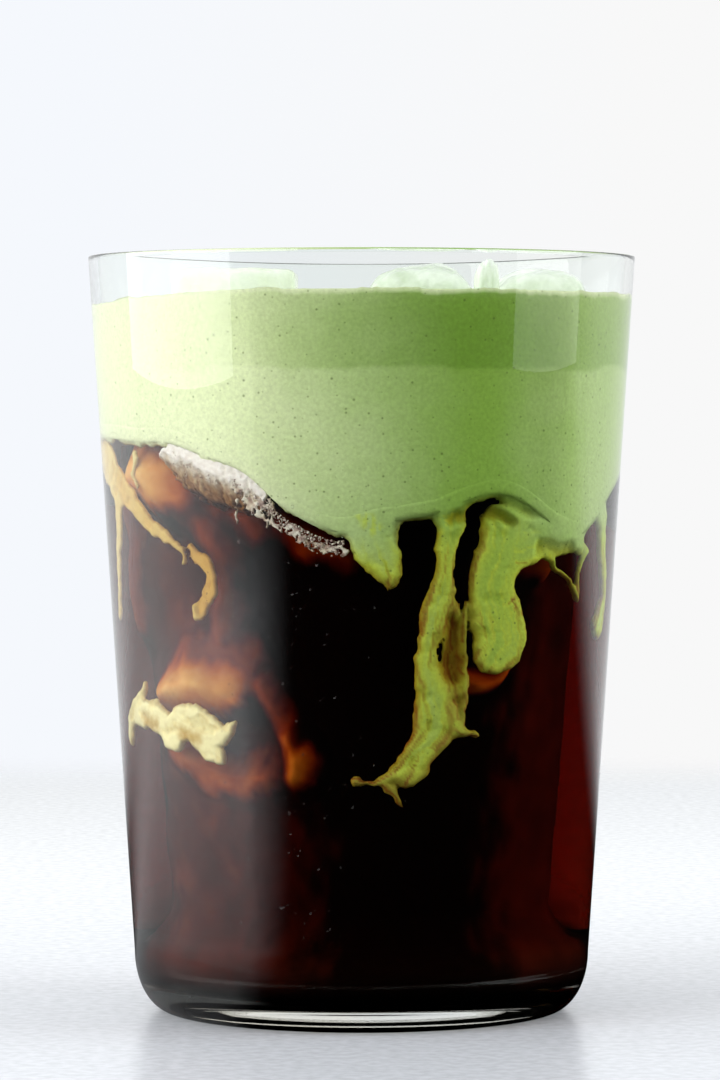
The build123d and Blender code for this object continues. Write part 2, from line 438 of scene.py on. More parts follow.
@dataclass(frozen=True)
class MatchaFoam:
    """Whipped matcha cream: matt, pale green and full of pin-head air bubbles and tea specks.

    Its colour has painted light in it: paler towards the lamps on both sides, most on the left,
    and darker, as painted shade, above a height near the top from the middle rightward. A rim of
    painted highlight runs pale along the top of the wall. It turns olive and then brown where the
    stain attribute says: partly coffee taken up by the cream, partly painted shade below the
    cream's edge and in its trenches. The real specks and bubbles are finer: they are drawn as
    coarse as they need to show.
    """

    pale: str = "#DDE3BC"
    green: str = "#89B040"
    olive: str = "#BBCB46"
    brown: str = "#8A5A22"
    speck: str = "#4C5E22"
    # Painted light: paler towards the left lamp, green by the second place, then paler again towards the
    # right lamp.
    pale_x: float = -29.0
    green_x: float = 23.0
    right_light_x: tuple[float, float] = (15.0, 40.0)
    right_light_share: float = 0.42
    # Painted shade: the tint darkens the colour above this height, from the middle rightward.
    layer: float = 102.0
    shade_line_x: tuple[float, float] = (-36.0, 10.0)
    painted_shade_tint: Colour = (0.72, 0.79, 0.60, 1.0)
    drift_size: float = 18.0
    speck_cell: float = 1.1
    bubble_cell: float = 0.8
    froth_grain: float = 0.55

    def material(self) -> bpy.types.Material:
        """Build the cream with its drift of colour, specks, bubbles and coffee stains.

        Returns:
            The material.
        """
        material, tree = new_material("matcha_cream_foam")
        place = add_node(tree, "ShaderNodeTexCoord").outputs["Object"]
        stain = add_node(tree, "ShaderNodeAttribute", attribute_name="stain").outputs["Fac"]
        rim_highlight = add_node(tree, "ShaderNodeAttribute", attribute_name="rim_highlight").outputs["Fac"]
        plain = self.painted_light_and_shade(tree, place)
        # Painted highlight: pale along the rim, where the meniscus catches the light.
        rim_lit = add_node(tree, "ShaderNodeMix", {0: rim_highlight, 6: plain, 7: linear(self.pale)},
                          data_type="RGBA")
        soak = add_node(tree, "ShaderNodeMapRange", {"Value": stain, "From Min": 0.0, "From Max": 0.55})
        soak_and_shade = add_node(tree, "ShaderNodeMix", {0: soak, 6: rim_lit.outputs[2], 7: linear(self.olive)},
                          data_type="RGBA")
        burn = add_node(tree, "ShaderNodeMapRange", {"Value": stain, "From Min": 0.5, "From Max": 1.0})
        burnt = add_node(tree, "ShaderNodeMix", {0: burn, 6: soak_and_shade.outputs[2], 7: linear(self.brown)},
                         data_type="RGBA")
        pits = add_node(tree, "ShaderNodeTexVoronoi", {
            "Vector": place, "Scale": 1.0 / (self.bubble_cell * MM), "Randomness": 1.0},
            feature="SMOOTH_F1")
        bump = add_node(tree, "ShaderNodeBump", {
            "Strength": 0.3, "Distance": 0.2 * MM, "Height": pits.outputs["Distance"]})
        shader = add_node(tree, "ShaderNodeBsdfPrincipled", {
            "Base Color": self.speckled(tree, place, burnt.outputs[2]), "Roughness": 0.6,
            "Specular IOR Level": 0.25, "Normal": bump})
        add_node(tree, "ShaderNodeOutputMaterial", {"Surface": shader})
        return material

    def painted_light_and_shade(self, tree: bpy.types.NodeTree, place: bpy.types.NodeSocket) -> bpy.types.NodeSocket:
        """Paint light and shade into the cream's colour: paler towards both lit sides, and darker above the
        layer's height from the middle rightward.

        Args:
            tree: Node tree.
            place: Object coordinates.

        Returns:
            The colour.
        """
        across = add_node(tree, "ShaderNodeSeparateXYZ", {0: place})
        drift = add_node(tree, "ShaderNodeTexNoise", {
            "Vector": place, "Scale": 1.0 / (self.drift_size * MM), "Detail": 4.0, "Roughness": 0.55})
        wander = add_node(tree, "ShaderNodeMath", {0: drift, 1: 0.5}, operation="SUBTRACT")
        shifted = add_node(tree, "ShaderNodeMath", {0: wander, 1: 20.0 * MM, 2: across.outputs["X"]},
                           operation="MULTIPLY_ADD")
        green = add_node(tree, "ShaderNodeMapRange", {
            "Value": shifted, "From Min": self.pale_x * MM, "From Max": self.green_x * MM},
            interpolation_type="SMOOTHSTEP")
        right_light = add_node(tree, "ShaderNodeMapRange", {
            "Value": shifted, "From Min": self.right_light_x[0] * MM, "From Max": self.right_light_x[1] * MM,
            "To Max": self.right_light_share}, interpolation_type="SMOOTHSTEP")
        # Painted light: green in the middle, paler towards each lit side.
        side = add_node(tree, "ShaderNodeMath", {0: green, 1: right_light}, operation="SUBTRACT")
        plain = add_node(tree, "ShaderNodeMix", {0: side, 6: linear(self.pale), 7: linear(self.green)},
                         data_type="RGBA")
        # Painted shade: darker above the layer's height, from the middle rightward.
        height = add_node(tree, "ShaderNodeMath", {0: wander, 1: 4.0 * MM, 2: across.outputs["Z"]},
                          operation="MULTIPLY_ADD")
        above = add_node(tree, "ShaderNodeMapRange", {
            "Value": height, "From Min": (self.layer - 0.5) * MM, "From Max": (self.layer + 0.5) * MM},
            interpolation_type="SMOOTHSTEP")
        inside = add_node(tree, "ShaderNodeMapRange", {
            "Value": shifted, "From Min": self.shade_line_x[0] * MM, "From Max": self.shade_line_x[1] * MM},
            interpolation_type="SMOOTHSTEP")
        painted_shade = add_node(tree, "ShaderNodeMath", {0: above, 1: inside}, operation="MULTIPLY")
        return add_node(tree, "ShaderNodeMix", {0: painted_shade, 6: plain.outputs[2], 7: self.painted_shade_tint},
                        data_type="RGBA", blend_type="MULTIPLY").outputs[2]

    def speckled(self, tree: bpy.types.NodeTree, place: bpy.types.NodeSocket,
                 colour: bpy.types.NodeSocket) -> bpy.types.NodeSocket:
        """Mottle a colour with the froth's grain and put tea specks of chance sizes on it.

        Args:
            tree: Node tree.
            place: Object coordinates.
            colour: The cream's colour.

        Returns:
            The colour with its specks.
        """
        foam = add_node(tree, "ShaderNodeTexNoise", {
            "Vector": place, "Scale": 1.0 / (self.froth_grain * MM), "Detail": 3.0, "Roughness": 0.65})
        shade = add_node(tree, "ShaderNodeMapRange", {
            "Value": foam, "From Min": NOISE_LOW, "From Max": NOISE_HIGH, "To Min": 0.88, "To Max": 1.1})
        mottled = add_node(tree, "ShaderNodeVectorMath", {0: colour, "Scale": shade}, operation="SCALE")
        cells = add_node(tree, "ShaderNodeTexVoronoi", {
            "Vector": place, "Scale": 1.0 / (self.speck_cell * MM), "Randomness": 1.0})
        chance = add_node(tree, "ShaderNodeSeparateColor", {0: cells.outputs["Color"]})
        size = add_node(tree, "ShaderNodeMath", {0: chance, 1: 1.2}, operation="POWER")
        ratio = add_node(tree, "ShaderNodeMath", {0: cells.outputs["Distance"], 1: size},
                         operation="DIVIDE")
        dot = add_node(tree, "ShaderNodeMapRange", {
            "Value": ratio, "From Min": 0.12, "From Max": 0.24, "To Min": 0.6, "To Max": 0.0})
        return add_node(tree, "ShaderNodeMix", {0: dot, 6: mottled, 7: linear(self.speck)},
                        data_type="RGBA").outputs[2]


@dataclass(frozen=True)
class MilkWisp:
    """Sunken cream that has lost its tea to the coffee: pale yellow, and amber by the stain attribute,
    which is partly painted shade in its hollows and at its edges.
    """

    pale: str = "#F3E9B2"
    amber: str = "#B48A26"
    curd: float = 1.2

    def material(self) -> bpy.types.Material:
        """Build the wisp, coloured by the mesh's own stain attribute with a fine curdled grain.

        Returns:
            The material.
        """
        material, tree = new_material("sunken_milk_wisp")
        place = add_node(tree, "ShaderNodeTexCoord").outputs["Object"]
        stain = add_node(tree, "ShaderNodeAttribute", attribute_name="stain").outputs["Fac"]
        grain = add_node(tree, "ShaderNodeTexNoise", {
            "Vector": place, "Scale": 1.0 / (self.curd * MM), "Detail": 4.0, "Roughness": 0.6})
        level = add_node(tree, "ShaderNodeMath", {0: grain, 1: 0.5}, operation="SUBTRACT")
        mixed = add_node(tree, "ShaderNodeMath", {0: level, 1: stain}, operation="ADD")
        colour = add_node(tree, "ShaderNodeValToRGB", {0: mixed}, ((0.0, self.pale), (1.0, self.amber)))
        shader = add_node(tree, "ShaderNodeBsdfPrincipled", {
            "Base Color": colour, "Roughness": 0.6, "Specular IOR Level": 0.2})
        add_node(tree, "ShaderNodeOutputMaterial", {"Surface": shader})
        return material


@dataclass(frozen=True)
class FrothBubble:
    """Skins of milk bubbles in coffee: greyish white, with the dark drink showing between."""

    stops: tuple[tuple[float, str], ...] = ((0.0, "#EEE9E5"), (0.5, "#B39C9A"), (1.0, "#553634"))

    def material(self) -> bpy.types.Material:
        """Build the bubble skins, browner by the mesh's own stain attribute.

        Returns:
            The material.
        """
        material, tree = new_material("milk_froth_bubbles")
        stain = add_node(tree, "ShaderNodeAttribute", attribute_name="stain").outputs["Fac"]
        colour = add_node(tree, "ShaderNodeValToRGB", {0: stain}, self.stops)
        shader = add_node(tree, "ShaderNodeBsdfPrincipled", {
            "Base Color": colour, "Roughness": 0.35, "Specular IOR Level": 0.4})
        add_node(tree, "ShaderNodeOutputMaterial", {"Surface": shader})
        return material


@dataclass(frozen=True)
class WetIce:
    """Freezer ice with cloudy cores, wet with melt and a film of green cream.

    Its wet faces shine, and the cloudy veins in it keep it from looking like glass.
    """

    clear: str = "#F5F9F4"
    film: str = "#DCE5D0"
    shadow: Colour = (0.93, 0.95, 0.92, 1.0)
    vein: float = 5.0
    film_low: float = 113.5
    film_high: float = 118.5

    def material(self) -> bpy.types.Material:
        """Build the ice: clear and glossy, milky in veins and greener towards the cream.

        Returns:
            The material.
        """
        material, tree = new_material("wet_cloudy_ice")
        place = add_node(tree, "ShaderNodeTexCoord").outputs["Object"]
        veins = add_node(tree, "ShaderNodeTexNoise", {
            "Vector": place, "Scale": 1.0 / (self.vein * MM), "Detail": 4.0, "Roughness": 0.6})
        height = add_node(tree, "ShaderNodeSeparateXYZ", {0: place}).outputs["Z"]
        low = add_node(tree, "ShaderNodeMapRange", {
            "Value": height, "From Min": self.film_low * MM, "From Max": self.film_high * MM,
            "To Min": 0.5, "To Max": 0.05})
        colour = add_node(tree, "ShaderNodeMix", {0: low, 6: linear(self.clear), 7: linear(self.film)},
                          data_type="RGBA")
        cloud = add_node(tree, "ShaderNodeMapRange", {
            "Value": veins, "From Min": 0.35, "From Max": 0.65, "To Min": 0.5, "To Max": 0.15})
        bump = add_node(tree, "ShaderNodeBump", {"Strength": 0.3, "Distance": 0.3 * MM, "Height": veins})
        shader = add_node(tree, "ShaderNodeBsdfPrincipled", {
            "Base Color": colour.outputs[2], "Roughness": 0.12, "IOR": 1.31,
            "Transmission Weight": cloud, "Normal": bump})
        add_node(tree, "ShaderNodeOutputMaterial", {"Surface": clear_to_light(tree, shader, self.shadow)})
        return material


@dataclass(frozen=True)
class WaterDrop:
    """Condensed water: clear beads with a bright point of light each."""

    def material(self) -> bpy.types.Material:
        """Build clear water with nothing in it.

        Returns:
            The material.
        """
        material, tree = new_material("condensed_water")
        shader = add_node(tree, "ShaderNodeBsdfPrincipled", {
            "Base Color": WHITE, "Roughness": 0.0, "IOR": WATER_IOR, "Transmission Weight": 1.0})
        add_node(tree, "ShaderNodeOutputMaterial", {"Surface": clear_to_light(tree, shader, WHITE)})
        return material


@dataclass(frozen=True)
class PaleLaminate:
    """Pale table laminate, pressed with a fine grain: softly glossy, with painted shade that makes it
    greyer towards the front and whiter behind.

    Reflections see a dark card over its part beside the glass, which keeps the dark drink dark.
    The real grain is finer: it is drawn as coarse as it needs to show.
    """

    # Painted shade: near is the greyer front colour, far the whiter one behind.
    near: str = "#CFD2D8"
    far: str = "#F0F2F4"
    near_y: float = -50.0
    far_y: float = 300.0
    grain: float = 2.0
    card_x: tuple[float, float] = (-1.04, -0.50)
    card_y: tuple[float, float] = (500.0, 200.0)
    card_reach: tuple[float, float] = (80.0, 420.0)
    card_share: float = 0.74
    end: float = 500.0
    end_blur: float = 70.0

    def material(self) -> bpy.types.Material:
        """Build the laminate, which fades out behind the glass so that the table has no far edge.

        Returns:
            The material.
        """
        material, tree = new_material("pale_laminate")
        place = add_node(tree, "ShaderNodeTexCoord").outputs["Object"]
        behind = add_node(tree, "ShaderNodeSeparateXYZ", {0: place}).outputs["Y"]
        grain = add_node(tree, "ShaderNodeTexNoise", {
            "Vector": place, "Scale": 1.0 / (self.grain * MM), "Detail": 3.0})
        # Painted shade: greyer in front of the glass, whiter behind it.
        distance = add_node(tree, "ShaderNodeMapRange", {
            "Value": behind, "From Min": self.near_y * MM, "From Max": self.far_y * MM},
            interpolation_type="SMOOTHSTEP")
        base = add_node(tree, "ShaderNodeMix", {0: distance, 6: linear(self.near), 7: linear(self.far)},
                        data_type="RGBA")
        fleck = add_node(tree, "ShaderNodeMapRange", {
            "Value": grain, "From Min": 0.35, "From Max": 0.65, "To Min": 0.9, "To Max": 1.05})
        colour = add_node(tree, "ShaderNodeVectorMath", {0: base.outputs[2], "Scale": fleck},
                          operation="SCALE")
        bump = add_node(tree, "ShaderNodeBump", {"Strength": 0.12, "Distance": 0.4 * MM, "Height": grain})
        shine = add_node(tree, "ShaderNodeBsdfPrincipled", {
            "Base Color": colour, "Roughness": 0.25, "Specular IOR Level": 0.3, "Normal": bump})
        dark = add_node(tree, "ShaderNodeEmission", {"Color": (0.0, 0.0, 0.0, 1.0)})
        carded = add_node(tree, "ShaderNodeMixShader", {
            0: self.card(tree, place, behind), 1: shine, 2: dark})
        past = add_node(tree, "ShaderNodeMapRange", {
            "Value": behind, "From Min": (self.end - self.end_blur) * MM,
            "From Max": (self.end + self.end_blur) * MM}, interpolation_type="SMOOTHSTEP")
        beyond = add_node(tree, "ShaderNodeBsdfTransparent")
        surface = add_node(tree, "ShaderNodeMixShader", {0: past, 1: carded, 2: beyond})
        add_node(tree, "ShaderNodeOutputMaterial", {"Surface": surface})
        return material

    def card(self, tree: bpy.types.NodeTree, place: bpy.types.NodeSocket,
             behind: bpy.types.NodeSocket) -> bpy.types.Node:
        """Say where reflections see the dark card: away from the left, and close round the glass.

        Args:
            tree: Node tree.
            place: Object coordinates.
            behind: Distance behind the glass's axis.

        Returns:
            The card's share at each place, none for any other ray.
        """
        flat = add_node(tree, "ShaderNodeVectorMath", {0: place, 1: (1.0, 1.0, 0.0)}, operation="MULTIPLY")
        toward = add_node(tree, "ShaderNodeVectorMath", {0: flat}, operation="NORMALIZE")
        sideways = add_node(tree, "ShaderNodeSeparateXYZ", {0: toward}).outputs["X"]
        east = add_node(tree, "ShaderNodeMapRange", {
            "Value": sideways, "From Min": self.card_x[0], "From Max": self.card_x[1]},
            interpolation_type="SMOOTHSTEP")
        front = add_node(tree, "ShaderNodeMapRange", {
            "Value": behind, "From Min": self.card_y[0] * MM, "From Max": self.card_y[1] * MM},
            interpolation_type="SMOOTHSTEP")
        away = add_node(tree, "ShaderNodeVectorMath", {0: flat}, operation="LENGTH").outputs["Value"]
        near = add_node(tree, "ShaderNodeMapRange", {
            "Value": away, "From Min": self.card_reach[0] * MM, "From Max": self.card_reach[1] * MM,
            "To Min": self.card_share, "To Max": 0.0})
        most = add_node(tree, "ShaderNodeMath", {0: east, 1: near}, operation="MAXIMUM")
        shade = add_node(tree, "ShaderNodeMath", {0: most, 1: front}, operation="MULTIPLY")
        glossy = add_node(tree, "ShaderNodeLightPath").outputs["Is Glossy Ray"]
        return add_node(tree, "ShaderNodeMath", {0: shade, 1: glossy}, operation="MULTIPLY")


def dress(thing: bpy.types.Object, material: bpy.types.Material, slot: Slot, *nodes: str) -> None:
    """Give a piece its finish, hang it on the root body, and hide the CAD nodes that it replaces.

    Args:
        thing: The piece.
        material: Its finish.
        slot: The material slot; not used.
        *nodes: Names of the CAD nodes that it replaces.
    """
    thing.data.materials.append(material)
    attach(thing, "root")
    if nodes:
        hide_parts(*nodes)
    LOG.info("piece %s: %d faces", thing.name, len(thing.data.polygons))


# ---------------------------------------------------------------- the tumbler


@dataclass(frozen=True)
class Tumbler:
    """Tapered tumbler: thin ground lip, straight wall, oval heel and a shallow hollow underneath."""

    height: float = 120.0
    rim_radius: float = 43.5
    heel_radius: float = 36.2
    heel_height: float = 9.5
    foot_radius: float = 30.3
    hollow_radius: float = 25.0
    hollow_depth: float = 0.9
    lip_wall: float = 1.5
    heel_wall: float = 2.3
    floor: float = 4.4
    inner_run: float = 7.5
    inner_rise: float = 8.5
    lip_power: float = 0.3
    bearings: int = 256

    def outside(self, z: Array) -> Array:
        """Outer radius at a height: a straight line from the heel to the rim."""
        return self.rim_radius - (self.rim_radius - self.heel_radius) * (self.height - z) / (
            self.height - self.heel_height)

    def bore(self, z: Array) -> Array:
        """Inner radius at a height: the outside less a wall that thickens evenly downwards."""
        share = (self.height - z) / (self.height - self.heel_height)
        return self.outside(z) - self.lip_wall - (self.heel_wall - self.lip_wall) * share

    def ring(self, bearing: Array, z: Array) -> tuple[Array, Array, Array]:
        """Find places on the inner wall, for noise that runs unbroken round the glass.

        Args:
            bearing: Bearings in radians.
            z: Heights, broadcastable with the bearings.

        Returns:
            Tables of r sin b, r cos b and z, where r is the bore's radius.
        """
        radius = self.bore(z)
        return radius * np.sin(bearing), radius * np.cos(bearing), z + 0.0 * bearing

    @staticmethod
    def quarter(start: tuple[float, float], corner: tuple[float, float], end: tuple[float, float],
                count: int) -> Array:
        """Run a quarter oval: a cubic whose handles reach 0.5523 of the way to the corner.

        Args:
            start: First point, as radius and height.
            corner: The corner that is rounded off.
            end: Last point.
            count: Number of points.

        Returns:
            Rows of radius and height.
        """
        reach = 0.5523
        p0, c, p3 = (np.array(p) for p in (start, corner, end))
        p1, p2 = p0 + reach * (c - p0), p3 + reach * (c - p3)
        t = np.linspace(0.0, 1.0, count)[:, None]
        return (1 - t) ** 3 * p0 + 3 * (1 - t) ** 2 * t * p1 + 3 * (1 - t) * t ** 2 * p2 + t ** 3 * p3

    def inner_profile(self, top: float, count: int = 60) -> Array:
        """Points down the inner wall from a height, round the heel and in along the floor.

        Args:
            top: Height to start from.
            count: Number of points on the straight wall.

        Returns:
            Rows of radius and height, ending near the axis.
        """
        start = self.floor + self.inner_rise
        rim = float(self.bore(start))
        z = np.linspace(top, start, count, endpoint=False)
        wall = np.stack([self.bore(z), z], -1)
        heel = self.quarter((rim, start), (rim, self.floor), (rim - self.inner_run, self.floor), 22)
        r = np.linspace(rim - self.inner_run, 1.0, 14)[1:]
        return np.vstack([wall, heel, np.stack([r, np.full_like(r, self.floor)], -1)])

    def build(self) -> bpy.types.Object:
        """Turn the glass's closed profile round the axis and dress it.

        The lip is half a superellipse, whose sine and cosine are raised to the lip's power.

        Returns:
            The object.
        """
        inner = self.inner_profile(self.height - self.lip_wall / 2)[::-1]
        turn = np.linspace(0.0, math.pi, 13)[1:-1]
        half = self.lip_wall / 2
        across, up = np.cos(turn), np.sin(turn)
        lip = np.stack([self.rim_radius - half - half * np.sign(across) * np.abs(across) ** self.lip_power,
                        self.height - half + half * up ** self.lip_power], -1)
        z = np.linspace(self.height - half, self.heel_height, 60)
        wall = np.stack([self.outside(z), z], -1)
        heel = self.quarter((self.heel_radius, self.heel_height), (self.heel_radius, 0.0),
                            (self.foot_radius, 0.0), 24)[1:]
        foot = np.stack([np.linspace(self.foot_radius, self.hollow_radius, 6)[1:], np.zeros(5)], -1)
        r = np.linspace(self.hollow_radius, 1.0, 14)[1:]
        hollow = np.stack([r, self.hollow_depth * (1.0 - (r / self.hollow_radius) ** 2)], -1)
        profile = np.vstack([inner, lip, wall, heel, foot, hollow])
        rows = np.ones((self.bearings, 1))
        glass = polar_body("tumbler_glass", rows * profile[:, 0], rows * profile[:, 1],
                           self.floor, self.hollow_depth)
        dress(glass, SodaLimeGlass().material(), Slot.GLASS, "tumbler")
        return glass


# ---------------------------------------------------------------- the flow of cream at the wall


@dataclass(frozen=True)
class WallGrid:
    """A table of bearings and heights that unrolls the glass's inner wall."""

    tumbler: Tumbler
    low: float
    high: float
    step: float
    first: float = -180.0
    last: float = 180.0
    mean_radius: float = 38.0

    def axes(self) -> tuple[Array, Array]:
        """Space the table evenly along the wall.

        Returns:
            Bearings in radians down the rows and heights along the columns.
        """
        first, last = math.radians(self.first), math.radians(self.last)
        rows = int(round((last - first) * self.mean_radius / self.step))
        columns = int(round((self.high - self.low) / self.step)) + 1
        bearing = np.linspace(first, last, rows, endpoint=False)[:, None]
        return bearing, np.linspace(self.low, self.high, columns)[None, :]

    def strand(self, knots: Knots, warp: tuple[Array | float, Array | float] = (0.0, 0.0)
               ) -> tuple[Array, Array, Array]:
        """Distance inside a strand that runs down the wall.

        The field at a point is the strand's half width less the distance to the nearest point of
        its centre line, taken over the short straight spans of a smooth curve through the knots.

        Args:
            knots: Bearing in degrees, height and half width of points on the strand.
            warp: Offsets along and up the wall that make the outline uneven.

        Returns:
            The field, the signed distance across the strand, and the distance along it.
        """
        bearing, z = self.axes()
        radius = self.tumbler.bore(z)
        up = z + warp[1]
        path = smooth_path(knots)
        best = np.full(np.broadcast_shapes(bearing.shape, z.shape), NOWHERE)
        across, along = np.zeros_like(best), np.zeros_like(best)
        run = 0.0
        for (b0, z0, w0), (b1, z1, w1) in zip(path, path[1:]):
            dx, dz = math.radians(b1 - b0) * radius, z1 - z0
            x = (bearing - math.radians(b0)) * radius + warp[0]
            square = dx ** 2 + dz ** 2 + 1e-9
            t = np.clip((x * dx + (up - z0) * dz) / square, 0.0, 1.0)
            off = np.hypot(x - t * dx, up - z0 - t * dz)
            value = w0 + (w1 - w0) * t - off
            length = np.sqrt(square)
            side = (x * dz - (up - z0) * dx) / length
            better = value > best
            across = np.where(better, side, across)
            along = np.where(better, run + t * length, along)
            best = np.where(better, value, best)
            run += float(math.hypot(math.radians(b1 - b0) * self.mean_radius, dz))
        return best, across, along

    def sheets(self, name: str, field: Array, front: Array, back: Array,
               attributes: dict[str, Array]) -> bpy.types.Object:
        """Close a front and a back sheet round the part of the wall where a field is positive.

        A vertex just outside is moved down the field's slope onto its zero line, where the two
        sheets meet. The point at bearing b, height z and depth d is (R - d) out from the axis,
        where R is the glass's inner radius there.

        Args:
            name: Name of the piece.
            field: Distance inside the outline, positive inside.
            front: Depth of the outward sheet behind the wall.
            back: Depth of the inward sheet.
            attributes: Values by name, tables of the field's shape.

        Returns:
            The object.
        """
        bearing, z = self.axes()
        radius = np.broadcast_to(self.tumbler.bore(z), field.shape)
        step_b, step_z = float(bearing[1, 0] - bearing[0, 0]), float(z[0, 1] - z[0, 0])
        slope_x = (np.roll(field, -1, 0) - np.roll(field, 1, 0)) / (2 * step_b * radius)
        slope_z = np.gradient(field, step_z, axis=1)
        inside = field > 0.0
        flattest, limit = 0.15, 1.2 * self.step
        move = np.where(inside, 0.0, -field / np.maximum(slope_x ** 2 + slope_z ** 2, flattest))
        dx = np.clip(move * slope_x, -limit, limit)
        dz = np.clip(move * slope_z, -limit, limit)
        b = np.broadcast_to(bearing, field.shape) + dx / radius
        h = np.broadcast_to(z, field.shape) + dz
        rows, columns = field.shape
        after = np.roll(inside, -1, 0)
        keep = inside[:, :-1] | inside[:, 1:] | after[:, :-1] | after[:, 1:]
        i, j = np.nonzero(keep)
        ring = (i + 1) % rows
        corners = np.stack([i * columns + j + 1, i * columns + j,
                            ring * columns + j, ring * columns + j + 1], -1)
        used = np.unique(corners)
        flat_inside = inside.ravel()[used]
        depth_edge = 0.5 * (front + back)
        depth_front = np.where(inside, front, depth_edge).ravel()[used]
        depth_back = back.ravel()[used]
        wall = self.tumbler.bore(h.ravel()[used])

        def place(depth: Array) -> Array:
            """Place the used points of the table behind the wall.

            Args:
                depth: How far behind it each of them is.

            Returns:
                Rows of x, y, z.
            """
            r = wall - depth
            angle = b.ravel()[used]
            return np.stack([r * np.sin(angle), -r * np.cos(angle), h.ravel()[used]], -1)

        points = np.vstack([place(depth_front), place(depth_back)[flat_inside]])
        number = np.zeros(field.size, int)
        number[used] = np.arange(len(used))
        behind = np.zeros(field.size, int)
        behind[used] = np.where(flat_inside, len(used) + np.cumsum(flat_inside) - 1, number[used])
        faces = number[corners], behind[corners[:, ::-1]]
        extra = {}
        for key, table in attributes.items():
            values = np.broadcast_to(table, field.shape).ravel()[used]
            extra[key] = np.concatenate([values, values[flat_inside]])
        return mesh_object(name, points, faces, extra)


def pillow(field: Array, round_over: float) -> Array:
    """Depth of a rounded edge: a quarter circle, from its radius at the outline to 0 inside."""
    inward = np.clip(field, 0.0, round_over)
    return round_over - np.sqrt(round_over ** 2 - (round_over - inward) ** 2)


# ---------------------------------------------------------------- the matcha cream


